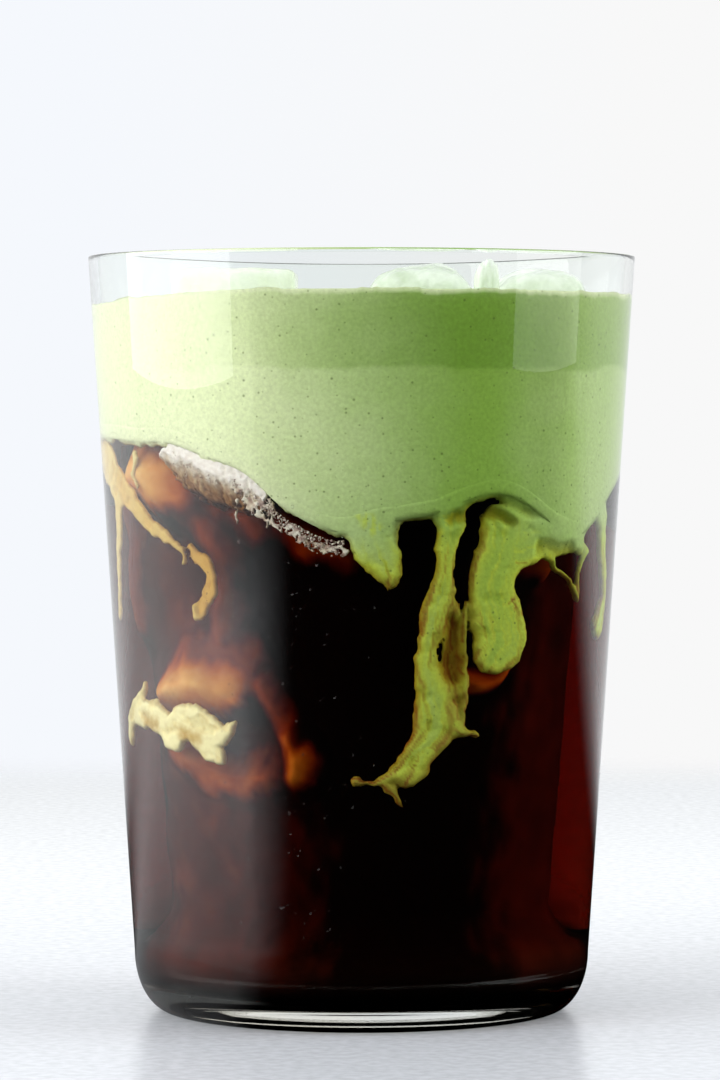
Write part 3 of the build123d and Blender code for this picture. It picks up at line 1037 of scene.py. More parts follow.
@dataclass(frozen=True)
class MatchaCream:
    """The float of whipped cream: its thick body, and the lobes and fingers that sink from it."""

    tumbler: Tumbler
    level: float = 113.8
    level_sag: float = 1.7
    sag_start: float = 17.5
    into_glass: float = 0.3
    round_over: float = 1.15
    edge: tuple[tuple[float, float], ...] = (
        (-180, 82.0), (-155, 80.0), (-138, 79.0), (-120, 83.0), (-100, 88.6), (-86, 89.7), (-69, 89.5),
        (-57, 88.9), (-48, 89.1), (-42.6, 88.3), (-35.5, 86.6), (-27.3, 85.0), (-22.7, 82.6),
        (-19.7, 80.2), (-16.7, 78.7),
        (-13, 77.4), (-9.7, 76.0), (-4.3, 75.2), (4, 77.0), (9.6, 77.2), (12.3, 78.0),
        (15, 77.6), (20, 79.4),
        (26, 80.6), (31, 81.4), (36, 80.6), (41.8, 78.7), (44.4, 77.3), (49.7, 75.6),
        (55, 74.6), (58, 74.4),
        (61.9, 75.4), (65.3, 77.2), (69.1, 78.9), (74.9, 81.3), (89.8, 85.1), (101, 83.0), (112, 80.5),
        (125, 83.0), (140, 80.0), (160, 76.0), (180, 82.0),
    )
    strands: tuple[Knots, ...] = (
        ((2.6, 77.5, 5.0), (3.4, 75.4, 4.6), (4.3, 73.6, 4.0), (5.3, 72.2, 3.3), (6.2, 70.2, 2.3),
         (6.3, 68.9, 1.3)),
        ((-1.6, 73.4, 0.7), (-2.5, 71.0, 0.3)),
        ((6.0, 68.6, 0.9), (4.6, 66.9, 0.4), (4.3, 66.1, 0.25)),
        ((20.4, 79.4, 3.4), (19.8, 76.5, 3.0), (18.9, 73.0, 2.5), (18.5, 70.1, 2.6), (18.2, 67.1, 3.05),
         (17.2, 64.8, 3.2), (15.7, 61.9, 2.7), (14.9, 58.4, 2.3), (15.9, 54.9, 2.8), (17.4, 51.3, 3.8),
         (17.7, 47.8, 4.2), (15.4, 45.0, 3.3), (12.2, 42.4, 2.7), (9.3, 40.4, 2.2)),
        ((15.5, 44.4, 2.8), (14.2, 41.8, 2.3), (11.4, 39.4, 1.7)),
        ((8.0, 40.2, 1.7), (4.0, 39.1, 1.1), (1.2, 38.9, 0.95), (-1.6, 39.4, 1.3)),
        ((5.5, 38.6, 1.2), (7.5, 37.1, 1.15), (9.6, 35.9, 0.8), (11.6, 34.9, 0.4)),
        ((22.0, 47.2, 1.9), (25.6, 46.1, 1.15), (27.4, 45.9, 0.8), (28.8, 45.9, 1.05)),
        ((24.0, 66.4, 0.5), (24.7, 61.8, 0.55), (24.8, 57.1, 0.6), (24.8, 51.2, 0.9),
         (24.9, 46.8, 0.8)),
        ((21.8, 64.4, 0.9), (21.6, 60.5, 1.9), (21.9, 57.0, 2.1), (22.8, 54.0, 1.8)),
        ((33.4, 76.8, 4.6), (33.0, 74.6, 4.7), (31.8, 71.7, 4.5), (30.8, 68.8, 4.3), (31.7, 65.8, 4.4),
         (33.6, 62.8, 4.9), (34.3, 60.4, 4.9), (33.3, 59.0, 4.2)),
        ((36.0, 74.2, 3.4), (42.0, 75.2, 3.1), (47.5, 76.0, 2.6), (53.0, 75.6, 2.2), (58.0, 75.2, 1.8)),
        ((35.0, 77.4, 1.8), (39.0, 77.2, 2.3), (43.5, 76.6, 2.2)),
        ((47.0, 73.9, 0.9), (48.8, 72.2, 0.5), (50.2, 70.8, 0.45), (53.9, 69.6, 0.4), (57.9, 68.3, 0.4),
         (59.9, 66.5, 0.3)),
        ((62.2, 73.8, 0.9), (60.4, 71.3, 0.4), (59.8, 68.5, 0.35), (59.9, 66.5, 0.3)),
        ((69.4, 79.4, 2.0), (71.4, 74.6, 1.5), (73.8, 70.0, 1.2), (74.6, 66.0, 1.2), (73.4, 63.8, 2.0),
         (72.2, 62.2, 2.2)),
    )
    holes: tuple[Knots, ...] = (
        ((27.3, 79.7, 0.7), (26.0, 77.6, 0.85), (24.8, 74.7, 1.05), (23.4, 71.8, 1.1),
         (23.2, 69.4, 0.85),
         (23.8, 67.7, 0.4), (24.3, 66.4, 0.25)),
        ((12.5, 76.6, 0.7), (12.6, 75.2, 1.4), (12.9, 73.0, 1.6), (12.2, 70.1, 1.7), (11.4, 67.5, 1.9)),
        ((64.8, 72.4, 0.9), (65.2, 70.0, 1.7), (64.0, 67.4, 1.4)),
    )
    trenches: tuple[tuple[Knots, float], ...] = (
        (((19.6, 78.6, 0.5), (23.0, 79.8, 1.0), (27.0, 80.0, 1.3), (31.0, 79.6, 1.1),
          (34.6, 78.8, 0.6)), 1.5),
        (((9.6, 74.5, 0.4), (10.0, 76.4, 0.6), (12.3, 77.9, 0.7), (14.9, 76.6, 0.6),
          (15.3, 74.5, 0.4)), 1.2),
        (((21.6, 63.2, 1.0), (21.6, 60.0, 1.4), (21.9, 57.0, 1.6), (22.6, 54.6, 1.0)), 1.9),
        (((44.0, 74.6, 0.8), (49.0, 74.4, 0.9), (54.0, 74.4, 0.8)), 0.9),
    )
    patches: tuple[Knots, ...] = (
        ((0.6, 79.4, 1.0), (2.6, 77.6, 1.2)),
        ((34.6, 66.4, 0.9), (40.6, 64.4, 1.1)),
        ((16.4, 77.4, 0.8), (20.6, 79.2, 1.3)),
        ((24.0, 80.6, 0.8), (30.0, 81.6, 0.8)),
    )
    grid_step: float = 0.33

    def edge_height(self, bearing: Array) -> Array:
        """Find the cream's lower edge on the wall, smoothed through the table's points.

        Args:
            bearing: Bearings in radians.

        Returns:
            The edge's height at each of them.
        """
        b, z = (np.array(v, float) for v in zip(*self.edge))
        fine = np.linspace(-180.0, 180.0, 721)
        line = np.interp(fine, b, z)
        width = np.exp(-0.5 * (np.arange(-12, 13) / 4.0) ** 2)
        soft = np.convolve(np.concatenate([line[-13:-1], line, line[1:13]]), width / width.sum(), "valid")
        return np.interp(np.degrees(bearing), fine, soft)

    def surface_height(self, x: Array) -> Array:
        """Height of the surface: level, and falling in an arc on the side away from the pour."""
        reach = self.tumbler.bore(np.array(self.level)) - self.sag_start
        return self.level - self.level_sag * np.clip((-x - self.sag_start) / reach, 0.0, 1.0) ** 1.4

    def body(self) -> bpy.types.Object:
        """Close the thick float, as a profile for each bearing: out over the top, down the wall, in.

        The top is the level plus two sizes of ripple and a meniscus that rises exponentially at
        the wall. The side runs straight from the lip to the lower edge.

        Returns:
            The object.
        """
        rows, under = 360, 90.0
        bearing = np.linspace(0.0, TAU, rows, endpoint=False)[:, None]
        turned = (bearing + math.pi) % TAU - math.pi
        overlap = self.into_glass - 0.05
        wall = self.tumbler.bore(np.array(self.level)) + overlap
        out = np.concatenate([np.linspace(0.02, 0.86, 40), np.linspace(0.87, 0.995, 24)])[None, :]
        r_top = wall * out + 0.0 * bearing
        x, y = r_top * np.sin(bearing), -r_top * np.cos(bearing)
        ripple = 0.28 * waves((x, y), 14.0, 3) + 0.10 * waves((x, y), 3.0, 4, 2)
        meniscus = 0.55 * np.exp(-(wall - r_top) / 0.7)
        z_top = self.surface_height(x) + ripple * (1.0 - out ** 6) - 0.35 + meniscus
        edge = self.edge_height(turned) + self.round_over + 0.5
        edge_ring = (wall * np.sin(bearing), wall * np.cos(bearing))
        lip = (self.surface_height(wall * np.sin(bearing)) + 0.15 + 0.22 * waves(edge_ring, 9.0, 6, 2)
               + 0.10 * waves(edge_ring, 1.6, 7, 2))
        t = np.linspace(0.0, 1.0, 40)[None, :]
        z_side = lip + (edge - lip) * t
        r_side = self.tumbler.bore(z_side) + overlap
        s = np.linspace(0.96, 0.03, 24)[None, :]
        r_under = r_side[:, -1:] * s
        z_under = edge + (under - edge) * smoothstep(1.0, 0.6, s)
        # Painted highlight: paler near the wall on the top and just under the lip on the side, where the
        # meniscus catches the light.
        rim_highlight = np.hstack([np.exp(-(wall - r_top) / 1.2), np.exp(-(lip - z_side) / 0.3), 0.0 * r_under])
        return polar_body(
            "matcha_cream_float", np.hstack([r_top, r_side, r_under]), np.hstack([z_top, z_side, z_under]),
            float(z_top[:, 0].mean()), under, {"rim_highlight": 0.8 * rim_highlight})

    def flow(self, grid: WallGrid) -> dict[str, Array]:
        """Work out the cream's outline and thickness on the wall.

        The outline is where the distance inside the edge, the strands and the webs, joined with
        rounded creases and less the holes, is zero. Threads run along each strand, from noise that
        is stretched eleven times along it.

        Args:
            grid: The unrolled wall.

        Returns:
            Tables of the field, the front and back depths and the stain, which carries painted shade as
            well as coffee taken up by the cream.
        """
        bearing, z = grid.axes()
        x = bearing * self.tumbler.bore(z)
        ring = self.tumbler.ring(bearing, z)
        warp = (0.35 * waves(ring, 7.0, 11) + 0.12 * waves(ring, 1.8, 12, 2),
                0.35 * waves(ring, 6.0, 13) + 0.12 * waves(ring, 1.8, 14, 2))
        edge = self.edge_height(bearing)
        slant = np.gradient(edge[:, 0], (bearing[1, 0] - bearing[0, 0]) * 38.5)[:, None]
        field = (z + warp[1] - edge) / np.sqrt(1.0 + slant ** 2)
        across, along = x + 0.0 * z, z + 0.0 * x
        for knots in self.strands:
            value, side, run = grid.strand(knots, warp)
            leads = value > field
            across, along = np.where(leads, side, across), np.where(leads, run, along)
            field = smooth_max(field, value, 0.9)
        for knots in self.holes:
            field = -smooth_max(-field, grid.strand(knots, warp)[0], 0.5)
        field = np.minimum(field, (edge + self.round_over + 3.6 - z) + 1e3 * (z < edge - 0.5))
        threads = waves((across, along * 0.08), 1.3, 21, 3)
        lumps = waves(ring, 4.5, 22, 3)
        below = smoothstep(2.5, -1.5, z - edge)
        relief = below * (0.07 * smoothstep(-0.2, 1.3, threads) + 0.2 * smoothstep(0.2, 1.4, lumps))
        for knots, deep in self.trenches:
            relief = relief + deep * smoothstep(-1.0, 1.0, grid.strand(knots, warp)[0])
        front = -self.into_glass + pillow(field, self.round_over) + relief
        back = np.maximum(2 * self.round_over - self.into_glass - pillow(field, self.round_over),
                          front + 0.15)
        shore = smoothstep(2.6, 0.0, field)
        # The stain is partly coffee taken up at the outline and along the threads, and partly painted
        # shade: it grows below the cream's edge and where the trenches sink the front.
        soak_and_shade = smoothstep(1.5, -6.0, z - edge)
        stain = soak_and_shade * (0.44 * shore + 0.36 * smoothstep(-0.4, 1.2, threads) + 0.2
                          + 0.35 * smoothstep(0.5, 1.8, relief))
        low = smoothstep(62.0, 40.0, z + 0.0 * bearing)
        pocks = smoothstep(-0.3, 0.7, waves(ring, 1.3, 23, 2))
        for knots in self.patches:
            stain = stain + 0.4 * pocks * smoothstep(-0.7, 0.7, grid.strand(knots, warp)[0])
        stain = np.clip(stain + 0.12 * low * below, 0.0, 1.0)
        return {"field": field, "front": front, "back": back, "stain": stain}

    def curtain(self) -> bpy.types.Object:
        """Close two sheets round the lower edge on the wall, with its lobes, fingers and webs.

        Returns:
            The object.
        """
        grid = WallGrid(self.tumbler, 33.0, 97.0, self.grid_step)
        flow = self.flow(grid)
        return grid.sheets("matcha_cream_fingers", flow["field"], flow["front"], flow["back"],
                           {"stain": flow["stain"]})

    def build(self) -> list[bpy.types.Object]:
        """Build the body and the curtain in one finish.

        Returns:
            The two objects.
        """
        foam = MatchaFoam().material()
        body, curtain = self.body(), self.curtain()
        dress(body, foam, Slot.CREAM, "matcha_cream")
        dress(curtain, foam, Slot.CREAM)
        return [body, curtain]


@dataclass(frozen=True)
class SunkenMilk:
    """Cream that has sunk and lost its tea: the pale island low on one side, and thin wisps."""

    tumbler: Tumbler
    island: tuple[tuple[Knots, float], ...] = (
        (((-63.1, 53.0, 0.5), (-67.8, 49.8, 1.2), (-71.0, 48.0, 1.6), (-73.6, 45.7, 1.2),
          (-74.0, 43.4, 0.7)), 0.0),
        (((-67.0, 48.2, 2.3), (-60.6, 48.3, 2.5), (-55.0, 47.0, 2.6), (-51.5, 46.0, 2.9),
          (-46.5, 47.5, 3.1), (-41.5, 46.9, 3.1), (-38.0, 45.9, 2.6), (-35.2, 46.0, 1.7),
          (-33.2, 47.0, 1.0), (-31.4, 48.0, 0.3)), -0.25),
        (((-42.0, 44.8, 1.9), (-39.0, 43.2, 1.7), (-36.6, 42.4, 1.2)), -0.25),
        (((-52.6, 45.6, 1.6), (-52.4, 44.4, 1.4)), -0.25),
    )
    hollows: tuple[Knots, ...] = (
        ((-62.0, 47.2, 1.0), (-58.0, 46.8, 1.0)),
        ((-47.0, 45.9, 0.9), (-42.6, 44.9, 0.9)),
    )
    wisps: tuple[tuple[Knots, float], ...] = (
        (((-84.0, 89.0, 4.0), (-78.0, 87.0, 4.0), (-74.0, 84.6, 2.9), (-72.4, 81.7, 2.1),
          (-72.8, 77.7, 1.6),
          (-74.6, 72.8, 1.2), (-76.0, 67.8, 1.1), (-76.7, 63.4, 1.1)), 0.7),
        (((-72.0, 84.6, 2.4), (-64.6, 81.2, 1.9), (-58.0, 78.2, 1.5), (-51.6, 76.0, 1.1),
          (-47.0, 74.5, 0.6),
          (-45.6, 73.4, 0.4), (-45.6, 72.4, 0.75)), 1.3),
        (((-60.6, 88.6, 0.8), (-62.2, 85.8, 0.55), (-60.6, 84.0, 0.4)), 0.3),
        (((-44.6, 74.6, 0.5), (-42.5, 73.5, 0.9), (-39.6, 71.9, 1.2), (-38.4, 70.0, 1.3),
          (-39.1, 67.6, 1.3),
          (-42.0, 65.1, 1.1)), 2.3),
        (((-39.9, 67.2, 0.5), (-39.8, 66.9, 0.5)), 0.7),
        (((-42.6, 65.0, 0.85), (-42.4, 64.6, 0.85)), 1.0),
    )

    def outline(self, grid: WallGrid, strands: tuple[tuple[Knots, float], ...],
                seed: int) -> tuple[Array, Array]:
        """Distance inside strands with an uneven outline.

        Args:
            grid: The unrolled wall.
            strands: Knots of each strand and its depth behind the wall.
            seed: Seed of the uneven outline.

        Returns:
            The joined field, positive inside, and the depth, blended where strands meet.
        """
        bearing, z = grid.axes()
        ring = self.tumbler.ring(bearing, z)
        warp = (0.3 * waves(ring, 3.2, seed, 3), 0.3 * waves(ring, 3.0, seed + 1, 3))
        field = np.full(np.broadcast_shapes(bearing.shape, z.shape), NOWHERE)
        depth = np.zeros_like(field)
        for knots, behind in strands:
            value = grid.strand(knots, warp)[0]
            share = smoothstep(-0.8, 0.8, value - field)
            depth = depth * (1.0 - share) + behind * share
            field = smooth_max(field, value, 0.5)
        return field, depth

    def sheet(self, name: str, strands: tuple[tuple[Knots, float], ...],
              span: tuple[float, float, float, float], rounding: float, hollow: float,
              seed: int) -> bpy.types.Object:
        """Close two sheets round some strands.

        Args:
            name: Name of the piece.
            strands: Knots and depth of each strand.
            span: Lowest and highest height, and first and last bearing, of the table.
            rounding: Radius that the edge is rounded to.
            hollow: Depth of the lumps and hollows of the front.
            seed: Seed of the uneven outline.

        Returns:
            The object.
        """
        grid = WallGrid(self.tumbler, span[0], span[1], 0.22, span[2], span[3])
        field, behind = self.outline(grid, strands, seed)
        bearing, z = grid.axes()
        ring = self.tumbler.ring(bearing, z)
        lumps = smoothstep(-0.3, 1.3, waves(ring, 4.2, seed + 2, 3))
        front = behind + pillow(field, rounding) + hollow * lumps * smoothstep(0.3, 1.5, field)
        back = np.maximum(behind + 2 * rounding - pillow(field, rounding), front + 0.15)
        # Partly painted shade: amber grows where lumps sink the front, near the edge, and in the listed
        # hollows.
        stain = 0.2 * lumps + 0.25 * smoothstep(0.7, 0.0, field)
        for knots in self.hollows:
            stain = stain + 0.7 * smoothstep(-1.4, 1.0, grid.strand(knots)[0])
        stain = np.clip(stain, 0.0, 1.0)
        return grid.sheets(name, field, front, back, {"stain": stain})

    def build(self) -> list[bpy.types.Object]:
        """Build the island and the wisps in one finish.

        Returns:
            The two objects.
        """
        finish = MilkWisp().material()
        island = self.sheet("sunken_cream_island", self.island, (38.0, 56.0, -82.0, -26.0), 1.1, 0.35, 31)
        wisps = self.sheet("milk_wisps", self.wisps, (60.0, 94.0, -98.0, -34.0), 0.6, 0.4, 41)
        for thing in (island, wisps):
            dress(thing, finish, Slot.CREAM)
        return [island, wisps]


@dataclass(frozen=True)
class Froth:
    """Froth along the ragged part of the cream's edge: a pale patch, a lace of burst bubbles, beads."""

    cream: MatchaCream
    cells: int = 620
    count: int = 760
    patch_run: Knots = (
        (-48.0, 89.6, 1.0), (-45.6, 87.2, 3.2), (-41.5, 85.8, 4.5), (-36.5, 84.6, 4.4),
        (-31.5, 83.9, 4.1), (-27.8, 83.6, 3.4), (-24.5, 82.2, 1.8),
    )
    lace_runs: tuple[Knots, ...] = (
        ((-29.0, 84.0, 0.8), (-26.2, 83.4, 1.7), (-22.6, 81.0, 1.8), (-19.6, 78.9, 1.1),
         (-16.0, 77.6, 1.0), (-13.1, 76.4, 1.0), (-10.1, 75.0, 0.8), (-6.5, 74.4, 0.55),
         (-3.4, 74.3, 0.4)),
        ((-28.9, 82.0, 0.35), (-28.9, 78.8, 0.22)),
        ((-21.5, 79.6, 0.4), (-21.2, 77.6, 0.2)),
        ((-11.6, 75.2, 0.35), (-11.4, 74.0, 0.2)),
    )

    def patch(self) -> bpy.types.Object:
        """Close the pale patch: two sheets that sink and stain further from the cream.

        Returns:
            The object.
        """
        tumbler = self.cream.tumbler
        grid = WallGrid(tumbler, 76.0, 92.0, 0.2, -54.0, -20.0)
        bearing, z = grid.axes()
        ring = tumbler.ring(bearing, z)
        warp = (0.5 * waves(ring, 3.0, 71, 3), 0.6 * waves(ring, 2.2, 72, 3))
        field = grid.strand(self.patch_run, warp)[0]
        below = self.cream.edge_height(bearing) - z
        sunk = np.clip((below + 0.5 * waves(ring, 3.0, 73, 3)) / 4.6, 0.0, 1.4)
        grain = waves(ring, 0.8, 74, 2)
        streaks = waves((bearing * tumbler.bore(z) + warp[0], 0.22 * z + warp[1]), 1.3, 81, 3)
        fade = smoothstep(2.0, 0.0, field) * smoothstep(0.05, 0.5, sunk)
        front = (-0.1 + 2.6 * sunk ** 1.5 + 2.6 * fade + 0.12 * smoothstep(0.0, 1.2, streaks)
                 + 0.04 * grain)
        tone = np.clip(0.03 + 0.62 * sunk + 0.3 * sunk * streaks + 0.06 * grain, 0.0, 1.0)
        return grid.sheets("froth_patch", field, front, front + 0.9, {"stain": tone})

    def lace(self) -> bpy.types.Object:
        """Close the lace: the walls between cells, where a point's two nearest seeds are as far.

        Returns:
            The object.
        """
        tumbler = self.cream.tumbler
        grid = WallGrid(tumbler, 70.0, 88.0, 0.13, -33.0, -1.0)
        bearing, z = grid.axes()
        radius = tumbler.bore(z)
        ring = tumbler.ring(bearing, z)
        warp = (0.3 * waves(ring, 2.4, 75, 3), 0.3 * waves(ring, 2.2, 76, 3))
        band = np.full(np.broadcast_shapes(bearing.shape, z.shape), NOWHERE)
        for knots in self.lace_runs:
            band = np.maximum(band, grid.strand(knots, warp)[0])
        rng = np.random.default_rng(77)
        seed_b, seed_z = rng.uniform(-0.58, -0.01, self.cells), rng.uniform(grid.low, grid.high, self.cells)
        x = bearing * radius
        first, second = np.full_like(band, -NOWHERE), np.full_like(band, -NOWHERE)
        for b, h in zip(seed_b, seed_z):
            away = np.hypot(x - b * radius + warp[0], z - h + warp[1])
            second = np.minimum(second, np.maximum(first, away))
            first = np.minimum(first, away)
        strand = 0.15 + 0.09 * waves(ring, 1.6, 78, 2) - 0.5 * (second - first)
        field = np.minimum(strand, band)
        tone = np.clip(0.25 + 0.35 * waves(ring, 1.1, 79, 2), 0.0, 1.0)
        front = 0.05 + pillow(field, 0.2) + 0.25 * smoothstep(-0.5, 1.0, waves(ring, 2.0, 80, 2))
        return grid.sheets("froth_lace", field, front, front + 0.45, {"stain": tone})

    def beads(self) -> bpy.types.Object:
        """Scatter the beads: fine and close in the pale patch, larger and looser along the edge.

        Returns:
            The object.
        """
        rng = np.random.default_rng(5)
        fine = self.count // 2
        b1 = rng.uniform(-47.0, -25.0, fine)
        drop = rng.beta(1.2, 2.2, fine) * np.interp(b1, [-47, -44, -34, -25], [0.6, 5.5, 3.6, 2.0])
        z1 = self.cream.edge_height(np.radians(b1)) - drop + 0.9
        r1 = rng.uniform(0.05, 0.12, fine)
        rest = self.count - fine
        b2 = rng.uniform(-30.0, -4.0, rest)
        z2 = self.cream.edge_height(np.radians(b2)) - rng.beta(1.1, 3.2, rest) * 3.0 + 0.3
        r2 = 0.07 + 0.26 * rng.beta(1.2, 5.0, rest)
        b, z, r = np.radians(np.append(b1, b2)), np.append(z1, z2), np.append(r1, r2)
        wall = self.cream.tumbler.bore(z) - 0.4 * r - rng.uniform(0.0, 0.3, len(r))
        centre = np.stack([wall * np.sin(b), -wall * np.cos(b), z], -1)
        ball, triangles = small_ball()
        points = (centre[:, None, :] + r[:, None, None] * ball[None]).reshape(-1, 3)
        faces = (np.arange(len(r))[:, None, None] * len(ball) + triangles[None]).reshape(-1, 3)
        tone = np.repeat(rng.beta(1.0, 1.8, len(r)), len(ball))
        return mesh_object("froth_beads", points, [faces], {"stain": tone})

    def build(self) -> list[bpy.types.Object]:
        """Build the patch, the lace and the beads in one finish.

        Returns:
            The three objects.
        """
        finish = FrothBubble().material()
        made = [self.patch(), self.lace(), self.beads()]
        for thing in made:
            dress(thing, finish, Slot.CREAM)
        return made


# ---------------------------------------------------------------- the coffee


@dataclass(frozen=True)
class Coffee:
    """The coffee: clear liquid against the wall, and the dark cloudy depth behind it."""

    tumbler: Tumbler
    top: float = 92.0
    into_glass: float = 0.15
    depth: float = 9.5
    side_depth: float = 6.0
    side_bearing: float = 114.0
    side_spread: float = 28.0
    floor_depth: float = 0.6
    milk_rise: float = 8.6
    bearings: int = 400
    clouds: tuple[tuple[Knots, float, float], ...] = (
        (((-66.0, 86.0, 3.6), (-57.0, 84.5, 4.2), (-50.0, 82.0, 3.0)), 1.0, 3.0),
        (((-90.0, 86.0, 5.0), (-84.0, 76.0, 4.0), (-80.0, 64.0, 3.0)), 0.6, 5.0),
        (((-75.0, 76.0, 9.0), (-60.0, 60.0, 10.0), (-56.0, 30.0, 12.0), (-56.0, 10.0, 12.0)), 0.24,
         10.0),
        (((-60.0, 51.5, 2.6), (-52.0, 53.0, 3.6), (-44.5, 53.4, 3.8), (-38.6, 52.2, 2.2)), 1.0, 3.6),
        (((-54.0, 57.0, 2.4), (-44.0, 58.0, 3.0), (-36.0, 56.6, 2.4)), 0.5, 4.0),
        (((-40.0, 44.0, 6.0), (-34.0, 30.0, 7.0), (-36.0, 10.0, 8.0)), 0.13, 9.0),
        (((-40.0, 52.0, 1.6), (-34.8, 50.6, 0.9)), 0.8, 1.8),
        (((-62.0, 43.8, 1.8), (-53.4, 41.2, 2.4), (-43.6, 39.8, 2.4), (-34.9, 38.8, 2.0),
          (-27.0, 39.0, 1.8)), 0.68, 3.6),
        (((-28.9, 53.0, 0.8), (-26.0, 50.4, 0.9), (-23.0, 47.6, 0.9), (-20.4, 44.8, 0.9)), 0.5, 2.4),
        (((-20.6, 45.0, 0.5), (-19.2, 43.4, 1.0), (-18.0, 41.6, 1.8), (-18.4, 39.6, 1.5)), 0.95, 2.2),
        (((-43.0, 80.6, 1.2), (-30.0, 78.6, 1.4)), 0.42, 3.0),
        (((-46.0, 78.0, 2.0), (-40.0, 70.0, 2.2), (-41.0, 60.0, 2.2)), 0.5, 3.0),
        (((26.0, 56.0, 1.4), (28.6, 53.8, 1.4), (33.0, 53.2, 1.3), (38.2, 54.0, 1.3), (41.8, 56.6, 1.2),
          (44.4, 60.0, 1.0)), 0.62, 1.2),
        (((49.0, 72.6, 1.6), (55.0, 71.6, 1.8)), 0.55, 1.8),
        (((-22.0, 78.0, 1.4), (-12.0, 74.4, 1.4), (-3.0, 72.4, 1.0)), 0.36, 2.4),
        (((72.0, 70.0, 8.0), (68.0, 50.0, 10.0), (66.0, 10.0, 11.0)), 0.12, 8.0),
        (((158.0, 84.0, 3.0), (160.0, 60.0, 2.0), (164.0, 34.0, 2.0)), 0.3, 7.0),
        (((150.0, 74.0, 3.0), (166.0, 64.0, 4.0)), 0.5, 6.0),
        (((-150.0, 66.0, 3.0), (-130.0, 72.0, 3.0)), 0.6, 6.0),
    )

    def liquid(self) -> bpy.types.Object:
        """Turn the clear outer surface: the glass's inner profile, set a little into the glass.

        Returns:
            The object.
        """
        inner = self.tumbler.inner_profile(self.top, 70)
        step = np.gradient(inner, axis=0)
        out = np.stack([-step[:, 1], step[:, 0]], -1) / np.linalg.norm(step, axis=1, keepdims=True)
        skin = inner + self.into_glass * out
        r = np.linspace(0.03, 0.97, 12) * skin[0, 0]
        lid = np.stack([r, np.full_like(r, self.top)], -1)
        profile = np.vstack([lid, skin])
        rows = np.ones((self.tumbler.bearings, 1))
        return polar_body("coffee_liquid", rows * profile[:, 0], rows * profile[:, 1], self.top,
                          self.tumbler.floor - self.into_glass)

    def milk(self, bearing: Array, z: Array, blur: float = 1.0, ragged: float = 1.0) -> Array:
        """Say how much milk the depth holds: soft runs of cloud broken up by noise.

        A run's value falls off with the distance from its centre line, over its own softness.

        Args:
            bearing: Bearings in radians.
            z: Heights.
            blur: Times that the runs are softer than their own softness.
            ragged: Share of the noise that the runs keep.

        Returns:
            The milkiness, 0 to 1.
        """
        radius = self.tumbler.bore(z)
        ring = self.tumbler.ring(bearing, z)
        total = np.zeros(np.broadcast_shapes(bearing.shape, z.shape))
        swirl = waves(ring, 8.0, 51, 3)
        for knots, strength, soft in self.clouds:
            best = np.full_like(total, NOWHERE)
            path = smooth_path(knots, 4)
            for (b0, z0, w0), (b1, z1, w1) in zip(path, path[1:]):
                turn = (bearing - math.radians(b0) + math.pi) % TAU - math.pi
                x, dx, dz = turn * radius, math.radians(b1 - b0) * radius, z1 - z0
                t = np.clip((x * dx + (z - z0) * dz) / (dx ** 2 + dz ** 2 + 1e-9), 0.0, 1.0)
                best = np.maximum(best, w0 + (w1 - w0) * t - np.hypot(x - t * dx, z - z0 - t * dz))
            cloud = smoothstep(-blur * soft, 0.6 * blur * soft, best + 0.35 * ragged * soft * swirl)
            total = np.maximum(total, strength * cloud)
        return np.clip(total * (0.9 + 0.15 * waves(ring, 12.0, 52, 2)), 0.0, 1.0)

    def core(self) -> bpy.types.Object:
        """Turn the dark depth: the inner profile moved inward, less where milk rises to the wall.

        It lies deeper at the two sides, where light from behind shines through the coffee's edge,
        and close to the glass at the floor.

        Returns:
            The object.
        """
        top = self.top - 0.5
        inner = self.tumbler.inner_profile(top, 200)
        step = np.gradient(inner, axis=0)
        normal = np.stack([step[:, 1], -step[:, 0]], -1) / np.linalg.norm(step, axis=1, keepdims=True)
        turn = np.linspace(0.0, TAU, self.bearings, endpoint=False)[:, None]
        bearing = (turn + math.pi) % TAU - math.pi
        z = inner[None, :, 1]
        milk = self.milk(bearing, z) * smoothstep(4.0, 12.0, z)
        rise = self.milk(bearing, z, 2.2, 0.0) * smoothstep(8.0, 20.0, z)
        floor = smoothstep(18.0, 5.0, z)
        off = (np.abs(np.degrees(bearing)) - self.side_bearing) / self.side_spread
        open_depth = self.depth + self.side_depth * np.exp(-off ** 2)
        deep = (open_depth + (self.floor_depth - open_depth) * floor
                - self.milk_rise * rise * (1.0 - floor))
        radius = inner[None, :, 0] + normal[None, :, 0] * deep
        height = inner[None, :, 1] + normal[None, :, 1] * deep
        lid = np.linspace(0.05, 0.95, 8)[None, :] * radius[:, :1]
        radius = np.hstack([lid, np.maximum(radius, 0.4)])
        height = np.hstack([np.full_like(lid, top), height])
        return polar_body("coffee_depth", radius, height, top, float(height[:, -1].mean()),
                          {"milk": np.hstack([np.zeros_like(lid), milk])})

    def build(self) -> list[bpy.types.Object]:
        """Build the liquid and its depth.

        Returns:
            The two objects.
        """
        liquid, core = self.liquid(), self.core()
        dress(liquid, ColdCoffee().material(), Slot.COFFEE, "coffee")
        dress(core, MilkInCoffee().material(), Slot.COFFEE)
        return [liquid, core]


# ---------------------------------------------------------------- the wet outside


